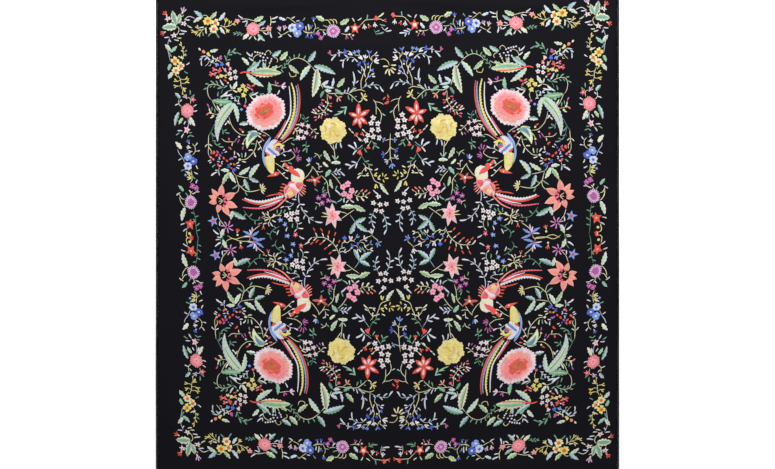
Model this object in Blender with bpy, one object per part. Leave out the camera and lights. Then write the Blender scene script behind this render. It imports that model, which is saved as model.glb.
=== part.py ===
"""Manila shawl laid out flat on the floor plane z = 0.

It is one square of black silk crepe with a narrow rolled hem on each side, and floss embroidery in
four mirrored quarters. A few soft ridges lift the cloth from the floor, and the rest lies flat.
The large flowers, the birds and the border roundels stand proud of the cloth as padded stitching.
"""

import math

import bmesh
import bpy
from mathutils import Vector

for old in list(bpy.data.objects):
    bpy.data.objects.remove(old, do_unlink=True)

# Driving sizes, in metres
WIDTH = 1.40
LENGTH = 1.46
WALL = 0.0012
HEM_WIDTH = 0.005
HEM_HEIGHT = 0.0026
SEAM_GAP = 0.0003
CLOTH_CELLS = (34, 36)
HEM_STATIONS = 32

# Padded stitching: its clearance from the cloth, its edge and the rise of its middle
STITCH_GAP = 0.0006
STITCH_EDGE = 0.0004
STITCH_CROWN = 0.0007

# The working chart of one quarter, numbered across and down. The whole cloth is 463 squares across.
SQUARE = WIDTH / 463
CLOTH_MIDDLE = (387.5, 234.5)
DESIGN_MIDDLE_DOWN = 239.5
MIDDLE_LINE_TOP = 385.2
MIDDLE_LINE_LEAN = 0.0285

# How far each mirrored quarter lies from true, in squares, at three places across and three up
HANDLES_ACROSS = (0, 110, 215)
HANDLES_UP = (0, 110, 217)
STILL = ((0, 0, 0), (0, 0, 0), (0, 0, 0))
CREEP = {
    "upper_left": {"side": -1, "level": -1, "across": STILL, "down": STILL},
    "upper_right": {
        "side": 1,
        "level": -1,
        "across": ((4, -2, -2), (-4, 0, -4), (5, 0, 0)),
        "down": ((-3, -3, -3), (-1, -4, -5), (-7, -7, -10)),
    },
    "lower_left": {
        "side": -1,
        "level": 1,
        "across": ((2, 4, -5), (6, 0, -1), (-1, 2, 2)),
        "down": ((6, 6, 1), (1, 0, -4), (-4, -8, -12)),
    },
    "lower_right": {
        "side": 1,
        "level": 1,
        "across": ((2, -1, -8), (-1, 1, -14), (5, -2, -11)),
        "down": ((3, 7, 0), (3, 0, -3), (-7, -7, -10)),
    },
}

# Soft ridges of the laid cloth, in metres and degrees from +X
# columns: x, y, turn, half length, half width, height
RIDGES = (
    (0.655, 0.42, 92, 0.30, 0.055, 0.0045),
    (0.668, -0.18, 88, 0.26, 0.050, 0.0035),
    (0.630, -0.62, 70, 0.20, 0.060, 0.0030),
    (-0.662, 0.22, 89, 0.34, 0.050, 0.0030),
    (-0.670, -0.44, 93, 0.24, 0.048, 0.0040),
    (-0.40, 0.700, 4, 0.26, 0.050, 0.0030),
    (0.24, 0.705, -3, 0.30, 0.050, 0.0035),
    (-0.22, -0.700, -2, 0.32, 0.052, 0.0030),
    (0.42, -0.702, 5, 0.22, 0.048, 0.0025),
    (-0.06, 0.555, 2, 0.34, 0.080, 0.0008),
    (0.03, -0.03, 84, 0.36, 0.090, 0.0008),
    (0.30, 0.02, -12, 0.26, 0.090, 0.0007),
    (-0.36, -0.08, 16, 0.24, 0.090, 0.0007),
)

# Round flowers, in squares
# columns: name, across, down, radius across, radius up, petals, depth of the notches, tone
FLOWERS = (
    ("chrysanthemum", 265.5, 112, 20, 18, 12, 0.05, "blush_floss"),
    ("yellow_rose", 332.7, 130.5, 13, 13.5, 8, 0.07, "yellow_floss"),
    ("star_flower", 359, 116.5, 12.5, 13.5, 6, 0.34, "red_floss"),
    ("coral_lily", 222.4, 200.7, 14, 16, 8, 0.26, "coral_floss"),
    ("pink_lily", 332.4, 215.1, 11.5, 12.5, 6, 0.20, "pink_floss"),
    ("pink_roundel_side", 187.3, 110.8, 7, 7, 8, 0.05, "pink_floss"),
    ("pink_roundel_end", 253.1, 29, 7, 7, 8, 0.05, "pink_floss"),
    ("purple_roundel_side", 190.9, 202, 6.5, 6.5, 8, 0.05, "violet_floss"),
    ("purple_roundel_end", 333.2, 31, 7, 6.5, 8, 0.05, "violet_floss"),
)

# Birds and their tails, each a route of stations: across, down, full width, in squares
STRIPS = (
    (
        "blue_bird",
        "blue_floss",
        ((280, 142.5, 8), (274, 147, 15), (270, 155, 16), (269, 163, 13), (272, 170, 10), (276, 175, 3)),
    ),
    (
        "blue_bird_tail",
        "blue_floss",
        ((293.5, 86, 4), (295, 95, 9), (294.5, 106, 10), (291, 118, 10), (286, 129, 9), (281, 137.5, 7)),
    ),
    (
        "red_bird",
        "red_floss",
        ((288, 167, 4), (294, 173, 12), (297, 181, 12), (294, 188, 15), (291, 194, 9)),
    ),
    (
        "red_bird_tail",
        "red_floss",
        ((285, 198.5, 4), (276, 201, 8), (264, 204, 10), (253, 205, 10), (243, 204, 6)),
    ),
)

# Colour (linear), roughness
TONES = {
    "black_crepe": ((0.0095, 0.0090, 0.0125), 0.62),
    "blush_floss": ((0.90, 0.42, 0.40), 0.42),
    "yellow_floss": ((0.80, 0.72, 0.30), 0.42),
    "red_floss": ((0.84, 0.11, 0.08), 0.42),
    "coral_floss": ((0.95, 0.32, 0.24), 0.42),
    "pink_floss": ((0.92, 0.26, 0.27), 0.42),
    "violet_floss": ((0.60, 0.18, 0.42), 0.42),
    "blue_floss": ((0.16, 0.28, 0.72), 0.42),
}


def make_material(name):
    """The Principled material of one cloth or floss."""
    colour, roughness = TONES[name]
    material = bpy.data.materials.new(name)
    material.use_nodes = True
    shader = material.node_tree.nodes["Principled BSDF"]
    shader.inputs["Base Color"].default_value = (*colour, 1.0)
    shader.inputs["Roughness"].default_value = roughness
    shader.inputs["Metallic"].default_value = 0.0
    return material


MATERIALS = {name: make_material(name) for name in TONES}


def finish_piece(name, mesh_draft, tone):
    """Turn a bmesh into a named object with its own floss or cloth."""
    bmesh.ops.recalc_face_normals(mesh_draft, faces=mesh_draft.faces)
    bmesh.ops.triangulate(mesh_draft, faces=mesh_draft.faces)
    mesh = bpy.data.meshes.new(name)
    mesh_draft.to_mesh(mesh)
    mesh_draft.free()
    mesh.materials.append(MATERIALS[tone])
    piece = bpy.data.objects.new(name, mesh)
    bpy.context.scene.collection.objects.link(piece)
    return piece


def ridge_height(x, y):
    """How far the ridges lift the cloth from the floor at one place."""
    lift = 0.0
    for middle_x, middle_y, turn, half_length, half_width, height in RIDGES:
        angle = math.radians(turn)
        along = (x - middle_x) * math.cos(angle) + (y - middle_y) * math.sin(angle)
        aside = (y - middle_y) * math.cos(angle) - (x - middle_x) * math.sin(angle)
        along = min(abs(along) / half_length, 1.0)
        aside = min(abs(aside) / half_width, 1.0)
        swell = math.cos(along * math.pi / 2) * math.cos(aside * math.pi / 2)
        lift = max(lift, height * swell**2)
    return lift


def weights(value, handles):
    """The share of each handle at a distance from the middle line."""
    value = min(max(value, handles[0]), handles[-1])
    shares = [0.0] * len(handles)
    for i in range(len(handles) - 1):
        if handles[i] <= value <= handles[i + 1]:
            part = (value - handles[i]) / (handles[i + 1] - handles[i])
            shares[i] = 1 - part
            shares[i + 1] = part
            break
    return shares


def place(quarter, across, down):
    """The metres x, y of a chart square in one of the four quarters."""
    creep = CREEP[quarter]
    out = MIDDLE_LINE_TOP + MIDDLE_LINE_LEAN * down - across
    up = DESIGN_MIDDLE_DOWN - down
    new_down = DESIGN_MIDDLE_DOWN + creep["level"] * up
    new_across = MIDDLE_LINE_TOP + MIDDLE_LINE_LEAN * new_down + creep["side"] * out
    for i, share_out in enumerate(weights(out, HANDLES_ACROSS)):
        for j, share_up in enumerate(weights(up, HANDLES_UP)):
            new_across += share_out * share_up * creep["across"][i][j]
            new_down += share_out * share_up * creep["down"][i][j]
    return (new_across - CLOTH_MIDDLE[0]) * SQUARE, (CLOTH_MIDDLE[1] - new_down) * SQUARE


def even_to_edge(share):
    """Grid lines that stand closer together towards the cloth's edges."""
    return 1.25 * share - 0.25 * share**3


def make_cloth():
    """The ground cloth: one wall that follows the ridges, flat on the floor between them."""
    half_x = WIDTH / 2 - HEM_WIDTH - SEAM_GAP
    half_y = LENGTH / 2 - HEM_WIDTH - SEAM_GAP
    draft = bmesh.new()
    bmesh.ops.create_grid(draft, x_segments=CLOTH_CELLS[0], y_segments=CLOTH_CELLS[1], size=1.0)
    for vert in draft.verts:
        vert.co.x = even_to_edge(vert.co.x) * half_x
        vert.co.y = even_to_edge(vert.co.y) * half_y
        vert.co.z = ridge_height(vert.co.x, vert.co.y)
    bmesh.ops.triangulate(draft, faces=draft.faces)
    raised = bmesh.ops.extrude_face_region(draft, geom=draft.faces)["geom"]
    upper = [part for part in raised if isinstance(part, bmesh.types.BMVert)]
    bmesh.ops.translate(draft, verts=upper, vec=(0, 0, WALL))
    return finish_piece("ground_cloth", draft, "black_crepe")


def hem_section():
    """The rolled hem's cut: flat below and half round above, as inward and upward distances."""
    half = HEM_WIDTH / 2
    return [
        (0.0, 0.0),
        (0.0, 0.3 * HEM_HEIGHT),
        (0.35 * half, 0.8 * HEM_HEIGHT),
        (half, HEM_HEIGHT),
        (1.65 * half, 0.8 * HEM_HEIGHT),
        (2 * half, 0.3 * HEM_HEIGHT),
        (2 * half, 0.0),
    ]


def make_hem(name, start, end, inward):
    """One rolled hem along the cloth's edge, from corner to corner."""
    start = Vector(start)
    end = Vector(end)
    inward = Vector(inward)
    draft = bmesh.new()
    previous = None
    for i in range(HEM_STATIONS + 1):
        foot = start.lerp(end, i / HEM_STATIONS)
        ring = []
        for into, up in hem_section():
            spot = foot + inward * into
            middle = foot + inward * HEM_WIDTH / 2
            ring.append(draft.verts.new((spot.x, spot.y, up + ridge_height(middle.x, middle.y))))
        if previous is None:
            draft.faces.new(ring)
        else:
            for k in range(len(ring)):
                after = (k + 1) % len(ring)
                draft.faces.new((previous[k], previous[after], ring[after], ring[k]))
        previous = ring
    draft.faces.new(previous)
    return finish_piece(name, draft, "black_crepe")


def make_hems():
    """Top and bottom hems run the full width; the side hems fit between them."""
    x, y = WIDTH / 2, LENGTH / 2
    inside = y - HEM_WIDTH - SEAM_GAP
    make_hem("hem_top", (-x, y), (x, y), (0, -1))
    make_hem("hem_bottom", (-x, -y), (x, -y), (0, 1))
    make_hem("hem_left", (-x, -inside), (-x, inside), (1, 0))
    make_hem("hem_right", (x, -inside), (x, inside), (-1, 0))


def on_cloth(spot, above):
    """A point of the stitching: over the cloth's face, moved out by its clearance."""
    return (spot[0], spot[1], ridge_height(*spot) + WALL + STITCH_GAP + above)


def make_flower(name, quarter, flower):
    """A padded flower: a notched rim, a swelling and a low crown."""
    _, across, down, radius_across, radius_up, petals, depth, tone = flower
    points = petals * 4
    draft = bmesh.new()
    rings = []
    for share, above in ((1.0, 0.0), (1.0, STITCH_EDGE), (0.6, STITCH_EDGE + 0.8 * STITCH_CROWN)):
        ring = []
        for i in range(points):
            angle = 2 * math.pi * i / points
            reach = share * (1 - depth * (0.5 - 0.5 * math.cos(petals * angle)))
            spot = place(
                quarter,
                across + reach * radius_across * math.sin(angle),
                down - reach * radius_up * math.cos(angle),
            )
            ring.append(draft.verts.new(on_cloth(spot, above)))
        rings.append(ring)
    middle = place(quarter, across, down)
    below = draft.verts.new(on_cloth(middle, 0.0))
    crown = draft.verts.new(on_cloth(middle, STITCH_EDGE + STITCH_CROWN))
    for i in range(points):
        after = (i + 1) % points
        draft.faces.new((below, rings[0][after], rings[0][i]))
        for low, high in zip(rings, rings[1:]):
            draft.faces.new((low[i], low[after], high[after], high[i]))
        draft.faces.new((rings[-1][i], rings[-1][after], crown))
    return finish_piece(name, draft, tone)


def make_strip(name, quarter, tone, stations):
    """A padded bird or tail: a strip with a raised middle line along its stations."""
    draft = bmesh.new()
    previous = None
    for i, (across, down, width) in enumerate(stations):
        before = stations[max(i - 1, 0)]
        after = stations[min(i + 1, len(stations) - 1)]
        run = Vector((after[0] - before[0], after[1] - before[1])).normalized()
        aside = Vector((-run.y, run.x)) * width / 2
        left = place(quarter, across + aside.x, down + aside.y)
        right = place(quarter, across - aside.x, down - aside.y)
        middle = place(quarter, across, down)
        ring = [
            draft.verts.new(on_cloth(left, 0.0)),
            draft.verts.new(on_cloth(right, 0.0)),
            draft.verts.new(on_cloth(right, STITCH_EDGE)),
            draft.verts.new(on_cloth(middle, STITCH_EDGE + STITCH_CROWN)),
            draft.verts.new(on_cloth(left, STITCH_EDGE)),
        ]
        if previous is None:
            draft.faces.new(ring)
        else:
            for k in range(len(ring)):
                following = (k + 1) % len(ring)
                draft.faces.new((previous[k], previous[following], ring[following], ring[k]))
        previous = ring
    draft.faces.new(previous)
    return finish_piece(name, draft, tone)


make_cloth()
make_hems()
for quarter in CREEP:
    for flower in FLOWERS:
        make_flower(f"{flower[0]}_{quarter}", quarter, flower)
    for strip_name, strip_tone, strip_stations in STRIPS:
        make_strip(f"{strip_name}_{quarter}", quarter, strip_tone, strip_stations)
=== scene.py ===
# %% [markdown]
# # An embroidered silk shawl, laid out flat
# The real thing is one square of black silk crepe with a rolled hem and thousands of satin stitches in
# shaded floss. We load the measured solids as a fixed frame, and dress them: first the cloth, then the
# hems, then every stitched leaf, flower and bird, worked in one quarter and mirrored into four.

# %% Load the measured frame
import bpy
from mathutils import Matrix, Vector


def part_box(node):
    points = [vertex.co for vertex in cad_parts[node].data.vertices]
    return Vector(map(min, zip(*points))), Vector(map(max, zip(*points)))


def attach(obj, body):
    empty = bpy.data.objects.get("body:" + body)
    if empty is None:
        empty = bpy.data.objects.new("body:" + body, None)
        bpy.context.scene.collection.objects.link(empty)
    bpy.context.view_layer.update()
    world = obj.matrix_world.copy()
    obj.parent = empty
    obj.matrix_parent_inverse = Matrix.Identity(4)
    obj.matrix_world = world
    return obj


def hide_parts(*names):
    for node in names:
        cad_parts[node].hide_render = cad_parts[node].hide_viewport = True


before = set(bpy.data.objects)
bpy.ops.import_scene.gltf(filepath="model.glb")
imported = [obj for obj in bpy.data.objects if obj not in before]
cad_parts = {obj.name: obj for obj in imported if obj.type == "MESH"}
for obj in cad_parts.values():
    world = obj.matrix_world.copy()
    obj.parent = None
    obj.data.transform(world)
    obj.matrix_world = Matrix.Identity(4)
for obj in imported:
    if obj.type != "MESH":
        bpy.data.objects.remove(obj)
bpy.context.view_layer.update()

# %% Blender's modules and numpy
import math

import bmesh
import bpy
import numpy as np
from mathutils import Vector

# %% [markdown]
# ## Threads
# Floss is sold by shade, so we name each shade once and turn it into the linear values that a
# shader needs. A "blend" says how one stitched shape is shaded from its base to its tip, along its two
# edges and down its middle. Embroiderers call this long-and-short shading.

# %% Shades of floss
THREADS = {
    "white": (238, 235, 243), "snow": (245, 238, 238), "cream": (240, 236, 205),
    "stem_cream": (246, 240, 196), "olive": (236, 228, 160), "butter": (246, 228, 140),
    "straw": (234, 213, 118), "lemon": (236, 222, 104), "gold": (222, 190, 82),
    "honey": (224, 176, 84), "amber": (214, 138, 66), "blush": (245, 222, 232),
    "rose_mist": (252, 208, 208), "shell": (255, 168, 166), "peach": (255, 172, 140),
    "coral": (250, 132, 128), "salmon": (255, 150, 132), "rose": (245, 100, 126),
    "hot_rose": (236, 82, 112), "scarlet": (240, 84, 62), "red": (226, 62, 52),
    "brick": (196, 92, 70), "umber": (150, 92, 66), "magenta": (202, 88, 170),
    "orchid": (184, 90, 162), "pink_lilac": (232, 188, 224), "lilac": (222, 184, 226),
    "mist": (206, 214, 234), "royal": (72, 102, 214), "sky": (128, 162, 236),
    "pale_sky": (202, 217, 242), "navy": (62, 76, 156), "fern": (92, 142, 116),
    "leaf_green": (112, 168, 132), "mint": (132, 186, 158), "pale_mint": (172, 214, 180),
    "lime": (216, 230, 178), "teal": (112, 166, 170), "ice": (182, 212, 224),
    "flush": (252, 140, 148), "soft_lime": (206, 224, 186), "knob": (236, 226, 172),
    "slate": (104, 134, 178), "violet": (132, 110, 216), "periwinkle": (118, 140, 212),
    "leaf_rim": (232, 238, 190), "lily_edge": (255, 182, 172), "pink": (255, 172, 198),
}


def linear(shade):
    """An eye value from 0 to 255 as linear light."""
    value = np.asarray(THREADS[shade], float) / 255
    return np.where(value <= 0.04045, value / 12.92, ((value + 0.055) / 1.055) ** 2.4)


print(len(THREADS), "shades of floss")

# %% Blends of floss
# columns: at the base, in the body, at the tip, left edge, right edge, down the middle
BLENDS = {
    "mint_cream": ("mint", "leaf_green", "mint", "cream", "cream", "teal"),
    "pale_edged": ("mint", "pale_mint", "lime", "cream", "cream", "mint"),
    "lime_white": ("lime", "pale_mint", "white", "lime", "white", "pale_mint"),
    "green_cream": ("leaf_green", "leaf_green", "pale_mint", "leaf_green", "lime", "pale_mint"),
    "teal_white": ("teal", "leaf_green", "ice", "leaf_green", "mist", "ice"),
    "teal_ice": ("teal", "ice", "ice", "ice", "teal", "ice"),
    "ice_white": ("ice", "ice", "white", "white", "pale_sky", "white"),
    "mint_white": ("pale_mint", "pale_mint", "white", "white", "mint", "white"),
    "cream_leaf": ("cream", "cream", "white", "white", "lime", "cream"),
    "fern_leaf": ("fern", "fern", "leaf_green", "fern", "leaf_green", "mint"),
    "mint_leaf": ("mint", "mint", "pale_mint", "mint", "pale_mint", "pale_mint"),
    "lime_leaf": ("lime", "lime", "cream", "lime", "lime", "cream"),
    "white_leaf": ("mist", "white", "white", "mist", "white", "white"),
    "straw_leaf": ("straw", "butter", "butter", "straw", "straw", "butter"),
    "slate_leaf": ("mint", "slate", "slate", "mint", "slate", "slate"),
    "half_ice": ("lime", "lime", "white", "ice", "lime", "ice"),
    "great_leaf": ("ice", "pale_mint", "white", "mist", "mist", "fern"),
    "great_body": ("pale_mint", "soft_lime", "lime", "soft_lime", "lime", "pale_mint"),
    "brick_star": ("brick", "brick", "scarlet", "brick", "brick", "brick"),
    "violet_blue": ("royal", "violet", "violet", "violet", "sky", "violet"),
    "slate_sky": ("sky", "periwinkle", "periwinkle", "periwinkle", "sky", "periwinkle"),
    "cream_rose": ("cream", "cream", "straw", "cream", "cream", "cream"),
    "mist_white": ("mist", "mist", "white", "mist", "mist", "mist"),
    "yellow": ("gold", "lemon", "butter", "lemon", "lemon", "lemon"),
    "pale_yellow": ("straw", "butter", "cream", "cream", "cream", "butter"),
    "gold": ("honey", "gold", "lemon", "gold", "gold", "gold"),
    "coral": ("coral", "coral", "coral", "salmon", "salmon", "coral"),
    "coral_tip": ("coral", "salmon", "lily_edge", "lily_edge", "lily_edge", "salmon"),
    "rose": ("hot_rose", "rose", "rose", "rose", "rose", "rose"),
    "salmon": ("coral", "salmon", "shell", "salmon", "salmon", "salmon"),
    "pink_star": ("shell", "rose_mist", "blush", "blush", "blush", "rose_mist"),
    "scarlet": ("red", "scarlet", "scarlet", "scarlet", "scarlet", "scarlet"),
    "brick": ("brick", "scarlet", "brick", "scarlet", "scarlet", "scarlet"),
    "magenta": ("orchid", "magenta", "magenta", "magenta", "magenta", "magenta"),
    "orchid": ("orchid",) * 6,
    "magenta_pale": ("orchid", "magenta", "pink_lilac", "magenta", "magenta", "pink_lilac"),
    "lilac": ("magenta", "lilac", "lilac", "lilac", "pink_lilac", "lilac"),
    "violet_rim": ("orchid", "pink_lilac", "pink_lilac", "lilac", "lilac", "lilac"),
    "amber": ("red", "scarlet", "amber", "amber", "amber", "scarlet"),
    "lily_pink": ("rose", "shell", "blush", "blush", "blush", "rose_mist"),
    "rim_blush": ("rose_mist", "blush", "blush", "blush", "blush", "blush"),
    "shell_pink": ("flush", "shell", "rose_mist", "flush", "rose_mist", "shell"),
    "peach_pink": ("coral", "peach", "peach", "shell", "peach", "shell"),
    "coral_pink": ("coral", "flush", "shell", "coral", "shell", "flush"),
    "rose_rim": ("straw", "butter", "butter", "butter", "cream", "butter"),
    "rose_mid": ("gold", "straw", "butter", "straw", "cream", "butter"),
    "rose_deep": ("honey", "straw", "butter", "gold", "straw", "straw"),
    "knob": ("knob",) * 6,
    "flush": ("coral", "flush", "shell", "coral", "flush", "flush"),
    "rose_mist": ("flush", "rose_mist", "blush", "rose_mist", "rose_mist", "rose_mist"),
    "umber_pale": ("umber", "amber", "umber", "amber", "brick", "umber"),
    "back_sky": ("sky", "sky", "sky", "sky", "pale_sky", "sky"),
    "royal": ("navy", "royal", "royal", "royal", "royal", "royal"),
    "sky": ("royal", "sky", "sky", "sky", "sky", "sky"),
    "pale_sky": ("sky", "pale_sky", "white", "pale_sky", "white", "pale_sky"),
    "navy": ("navy", "navy", "royal", "navy", "navy", "royal"),
    "white": ("mist", "white", "white", "white", "white", "white"),
    "snow": ("rose_mist", "snow", "snow", "snow", "snow", "snow"),
    "pink_lilac": ("lilac", "pink_lilac", "pink_lilac", "pink_lilac", "pink_lilac", "blush"),
    "half_mint": ("mint", "pale_mint", "white", "white", "fern", "pale_mint"),
    "stem_cream": ("stem_cream",) * 6,
    "olive": ("olive",) * 6,
    "stem_fern": ("fern",) * 6,
    "stem_mist": ("mist",) * 6,
    "stem_ice": ("ice",) * 6,
    "stem_white": ("white",) * 6,
    "blush": ("shell", "blush", "blush", "blush", "white", "blush"),
    "shell": ("coral", "shell", "rose_mist", "shell", "shell", "shell"),
    "peach": ("coral", "peach", "shell", "peach", "peach", "peach"),
    "umber": ("brick", "umber", "brick", "brick", "brick", "umber"),
    "butter": ("lemon", "butter", "cream", "butter", "butter", "butter"),
    "pink_bloom": ("flush", "pink", "pink", "pink", "pink", "pink"),
    "lime_vein": ("fern", "leaf_green", "mint", "leaf_green", "leaf_green", "lime"),
    "honey": ("honey", "honey", "butter", "gold", "gold", "honey"),
    "cream": ("straw", "cream", "cream", "cream", "cream", "cream"),
    "red_pink": ("red", "hot_rose", "hot_rose", "red", "red", "hot_rose"),
}
BLEND_ORDER = list(BLENDS)
# leaves worked in two halves to a vein, each half in its own edge shade
HALVES = {"green_cream", "teal_white", "lime_white", "half_ice", "half_mint"}
# of these, the ones outlined all round in one pale shade
RIMMED = {"green_cream"}
RIM_THREAD = "leaf_rim"
# how deep all the floss is dyed, set after the photo's brightness and the render's were measured
FLOSS_DEPTH = 0.76
BLEND_SHADES = FLOSS_DEPTH * np.array([[linear(shade) for shade in row] for row in BLENDS.values()])
# the cells of the square sheet on which the blends are baked, one to a blend
ATLAS_SIDE = math.ceil(math.sqrt(len(BLEND_ORDER)))
print(len(BLEND_ORDER), "blends")

# %% [markdown]
# ## The cloth's lie
# Laid crepe never lies dead flat. The largest ridges are the same as on the measured solids, and we add
# the finer creases: soft, uneven in length and depth, most of them in the plain margins.

# %% Ridges and creases
# columns: x, y (m), turn (degrees), half length, half width, height (m, below zero for a trough)
RIDGES = (
    (0.655, 0.42, 92, 0.30, 0.055, 0.0045),
    (0.668, -0.18, 88, 0.26, 0.050, 0.0035),
    (0.630, -0.62, 70, 0.20, 0.060, 0.0030),
    (-0.662, 0.22, 89, 0.34, 0.050, 0.0030),
    (-0.670, -0.44, 93, 0.24, 0.048, 0.0040),
    (-0.40, 0.700, 4, 0.26, 0.050, 0.0030),
    (0.24, 0.705, -3, 0.30, 0.050, 0.0035),
    (-0.22, -0.700, -2, 0.32, 0.052, 0.0030),
    (0.42, -0.702, 5, 0.22, 0.048, 0.0025),
    (-0.06, 0.555, 2, 0.34, 0.080, 0.0008),
    (0.03, -0.03, 84, 0.36, 0.090, 0.0008),
    (0.30, 0.02, -12, 0.26, 0.090, 0.0007),
    (-0.36, -0.08, 16, 0.24, 0.090, 0.0007),
)
CREASES = (
    (0.676, 0.30, 91, 0.26, 0.012, 0.0011),
    (0.652, 0.12, 86, 0.20, 0.010, 0.0009),
    (0.690, -0.10, 90, 0.30, 0.009, 0.0010),
    (0.664, -0.36, 94, 0.22, 0.013, 0.0011),
    (0.682, 0.58, 88, 0.12, 0.010, 0.0009),
    (0.646, -0.55, 84, 0.16, 0.011, 0.0008),
    (-0.684, 0.40, 90, 0.28, 0.011, 0.0009),
    (-0.664, 0.02, 92, 0.22, 0.010, 0.0008),
    (-0.690, -0.30, 89, 0.26, 0.010, 0.0009),
    (-0.672, -0.58, 86, 0.14, 0.012, 0.0008),
    (-0.30, 0.690, 3, 0.20, 0.012, 0.0010),
    (0.08, 0.702, -2, 0.18, 0.010, 0.0009),
    (0.46, 0.694, 5, 0.16, 0.012, 0.0010),
    (-0.10, 0.572, 1, 0.22, 0.014, 0.0006),
    (-0.46, 0.540, -28, 0.07, 0.012, 0.0006),
    (-0.05, -0.700, 2, 0.22, 0.011, 0.0009),
    (-0.52, -0.705, -4, 0.14, 0.010, 0.0008),
    (0.34, -0.694, -3, 0.20, 0.012, 0.0009),
    (0.02, 0.10, 88, 0.20, 0.014, 0.0004),
    (-0.02, -0.24, 80, 0.16, 0.013, 0.0004),
    (0.14, -0.06, 12, 0.14, 0.014, 0.0004),
    (-0.22, 0.03, -8, 0.16, 0.014, 0.0004),
    (-0.54, 0.30, 84, 0.14, 0.012, 0.0005),
    (0.55, -0.06, 97, 0.18, 0.013, 0.0005),
    (0.20, 0.565, -6, 0.16, 0.012, 0.0005),
    (-0.28, -0.560, 5, 0.18, 0.013, 0.0005),
    (0.30, -0.570, -4, 0.20, 0.012, 0.0005),
)


def swell(x, y, row):
    """One long soft swelling: highest at its middle and nothing beyond its half sizes."""
    middle_x, middle_y, turn, half_length, half_width, height = row
    angle = math.radians(turn)
    along = (x - middle_x) * math.cos(angle) + (y - middle_y) * math.sin(angle)
    aside = (y - middle_y) * math.cos(angle) - (x - middle_x) * math.sin(angle)
    along = np.minimum(abs(along) / half_length, 1.0)
    aside = np.minimum(abs(aside) / half_width, 1.0)
    return height * (np.cos(along * math.pi / 2) * np.cos(aside * math.pi / 2)) ** 2


def lie(x, y):
    """How far the cloth is lifted from the floor at each place."""
    x, y = np.asarray(x, float), np.asarray(y, float)
    lift = np.max([swell(x, y, row) for row in RIDGES], axis=0)
    return lift + np.sum([swell(x, y, row) for row in CREASES], axis=0)


print("highest ridge:", round(1000 * float(max(row[5] for row in RIDGES)), 1), "mm")

# %% [markdown]
# ## The working chart
# One quarter is drawn on squared paper, about 3 mm a square. The worker mirrored it by eye, so no quarter is
# quite true to the next: a few handles say how far each one has crept, and the rest follows smoothly.
# The creep wasn't set by hand. Sixteen motifs were looked up in all four quarters of the photo, and
# a least-squares fit outside this script worked out how far each handle has to move to bring them there.

# %% From chart squares to the cloth
CLOTH_WIDTH = 1.40
SQUARES_ACROSS = 463
SQUARE = CLOTH_WIDTH / SQUARES_ACROSS
CLOTH_MIDDLE = (387.5, 234.5)
# the design's own middle: its level, and where its upright line starts and how it leans
DESIGN_MIDDLE_DOWN = 239.5
MIDDLE_LINE_TOP = 385.2
MIDDLE_LINE_LEAN = 0.0285
# squares from the middle to each handle, outwards and upwards
HANDLES_ACROSS = (0, 110, 215)
HANDLES_UP = (0, 110, 217)
STILL = ((0, 0, 0), (0, 0, 0), (0, 0, 0))
# how far each handle has crept, in squares: a row to a handle outwards, a value to a handle upwards
# the values are that fit's, rounded, with five of the 54 a square away from the nearest one
QUARTERS = {
    "upper_left": {"side": -1, "level": -1, "across": STILL, "down": STILL},
    "upper_right": {
        "side": 1, "level": -1,
        "across": ((4, -2, -2), (-4, 0, -4), (5, 0, 0)),
        "down": ((-3, -3, -3), (-1, -4, -5), (-7, -7, -10)),
    },
    "lower_left": {
        "side": -1, "level": 1,
        "across": ((2, 4, -5), (6, 0, -1), (-1, 2, 2)),
        "down": ((6, 6, 1), (1, 0, -4), (-4, -8, -12)),
    },
    "lower_right": {
        "side": 1, "level": 1,
        "across": ((2, -1, -8), (-1, 1, -14), (5, -2, -11)),
        "down": ((3, 7, 0), (3, 0, -3), (-7, -7, -10)),
    },
}


def shares(value, handles):
    """The weight of each handle at each distance from the middle line."""
    return np.stack([np.interp(value, handles, row) for row in np.eye(len(handles))], axis=-1)


def place(quarter, across, down):
    """Chart squares as metres on the cloth, in one of the four quarters."""
    creep = QUARTERS[quarter]
    out = MIDDLE_LINE_TOP + MIDDLE_LINE_LEAN * down - across
    up = DESIGN_MIDDLE_DOWN - down
    weight = shares(out, HANDLES_ACROSS)[..., :, None] * shares(up, HANDLES_UP)[..., None, :]
    new_down = DESIGN_MIDDLE_DOWN + creep["level"] * up
    new_across = MIDDLE_LINE_TOP + MIDDLE_LINE_LEAN * new_down + creep["side"] * out
    new_across = new_across + (weight * np.array(creep["across"])).sum((-2, -1))
    new_down = new_down + (weight * np.array(creep["down"])).sum((-2, -1))
    return (new_across - CLOTH_MIDDLE[0]) * SQUARE, (CLOTH_MIDDLE[1] - new_down) * SQUARE


print("one square is", round(SQUARE * 1000, 3), "mm")

# %% [markdown]
# ## Finishes
# Crepe is woven from hard-twisted yarn, so it is pebbly and nearly matt. We make the pebble as a node
# group, because the ground and the hems both wear it. Floss is the opposite: untwisted silk, so it
# shines along its strands, and the strands run across each stitched shape.

# %% Small helpers for finishes
FINISH = {"Colour": "NodeSocketColor", "Roughness": "NodeSocketFloat", "Normal": "NodeSocketVector"}


def open_group(name, shades, numbers):
    """A node group with named shades and numbers as inputs, which gives colour, roughness and normal."""
    group = bpy.data.node_groups.new(name, "ShaderNodeTree")
    for kind, inputs in (("NodeSocketColor", shades), ("NodeSocketFloat", numbers)):
        for label, value in inputs.items():
            socket = group.interface.new_socket(name=label, in_out="INPUT", socket_type=kind)
            socket.default_value = value
    for label, kind in FINISH.items():
        group.interface.new_socket(name=label, in_out="OUTPUT", socket_type=kind)
    return group, group.nodes.new("NodeGroupInput"), group.nodes.new("NodeGroupOutput")


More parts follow.
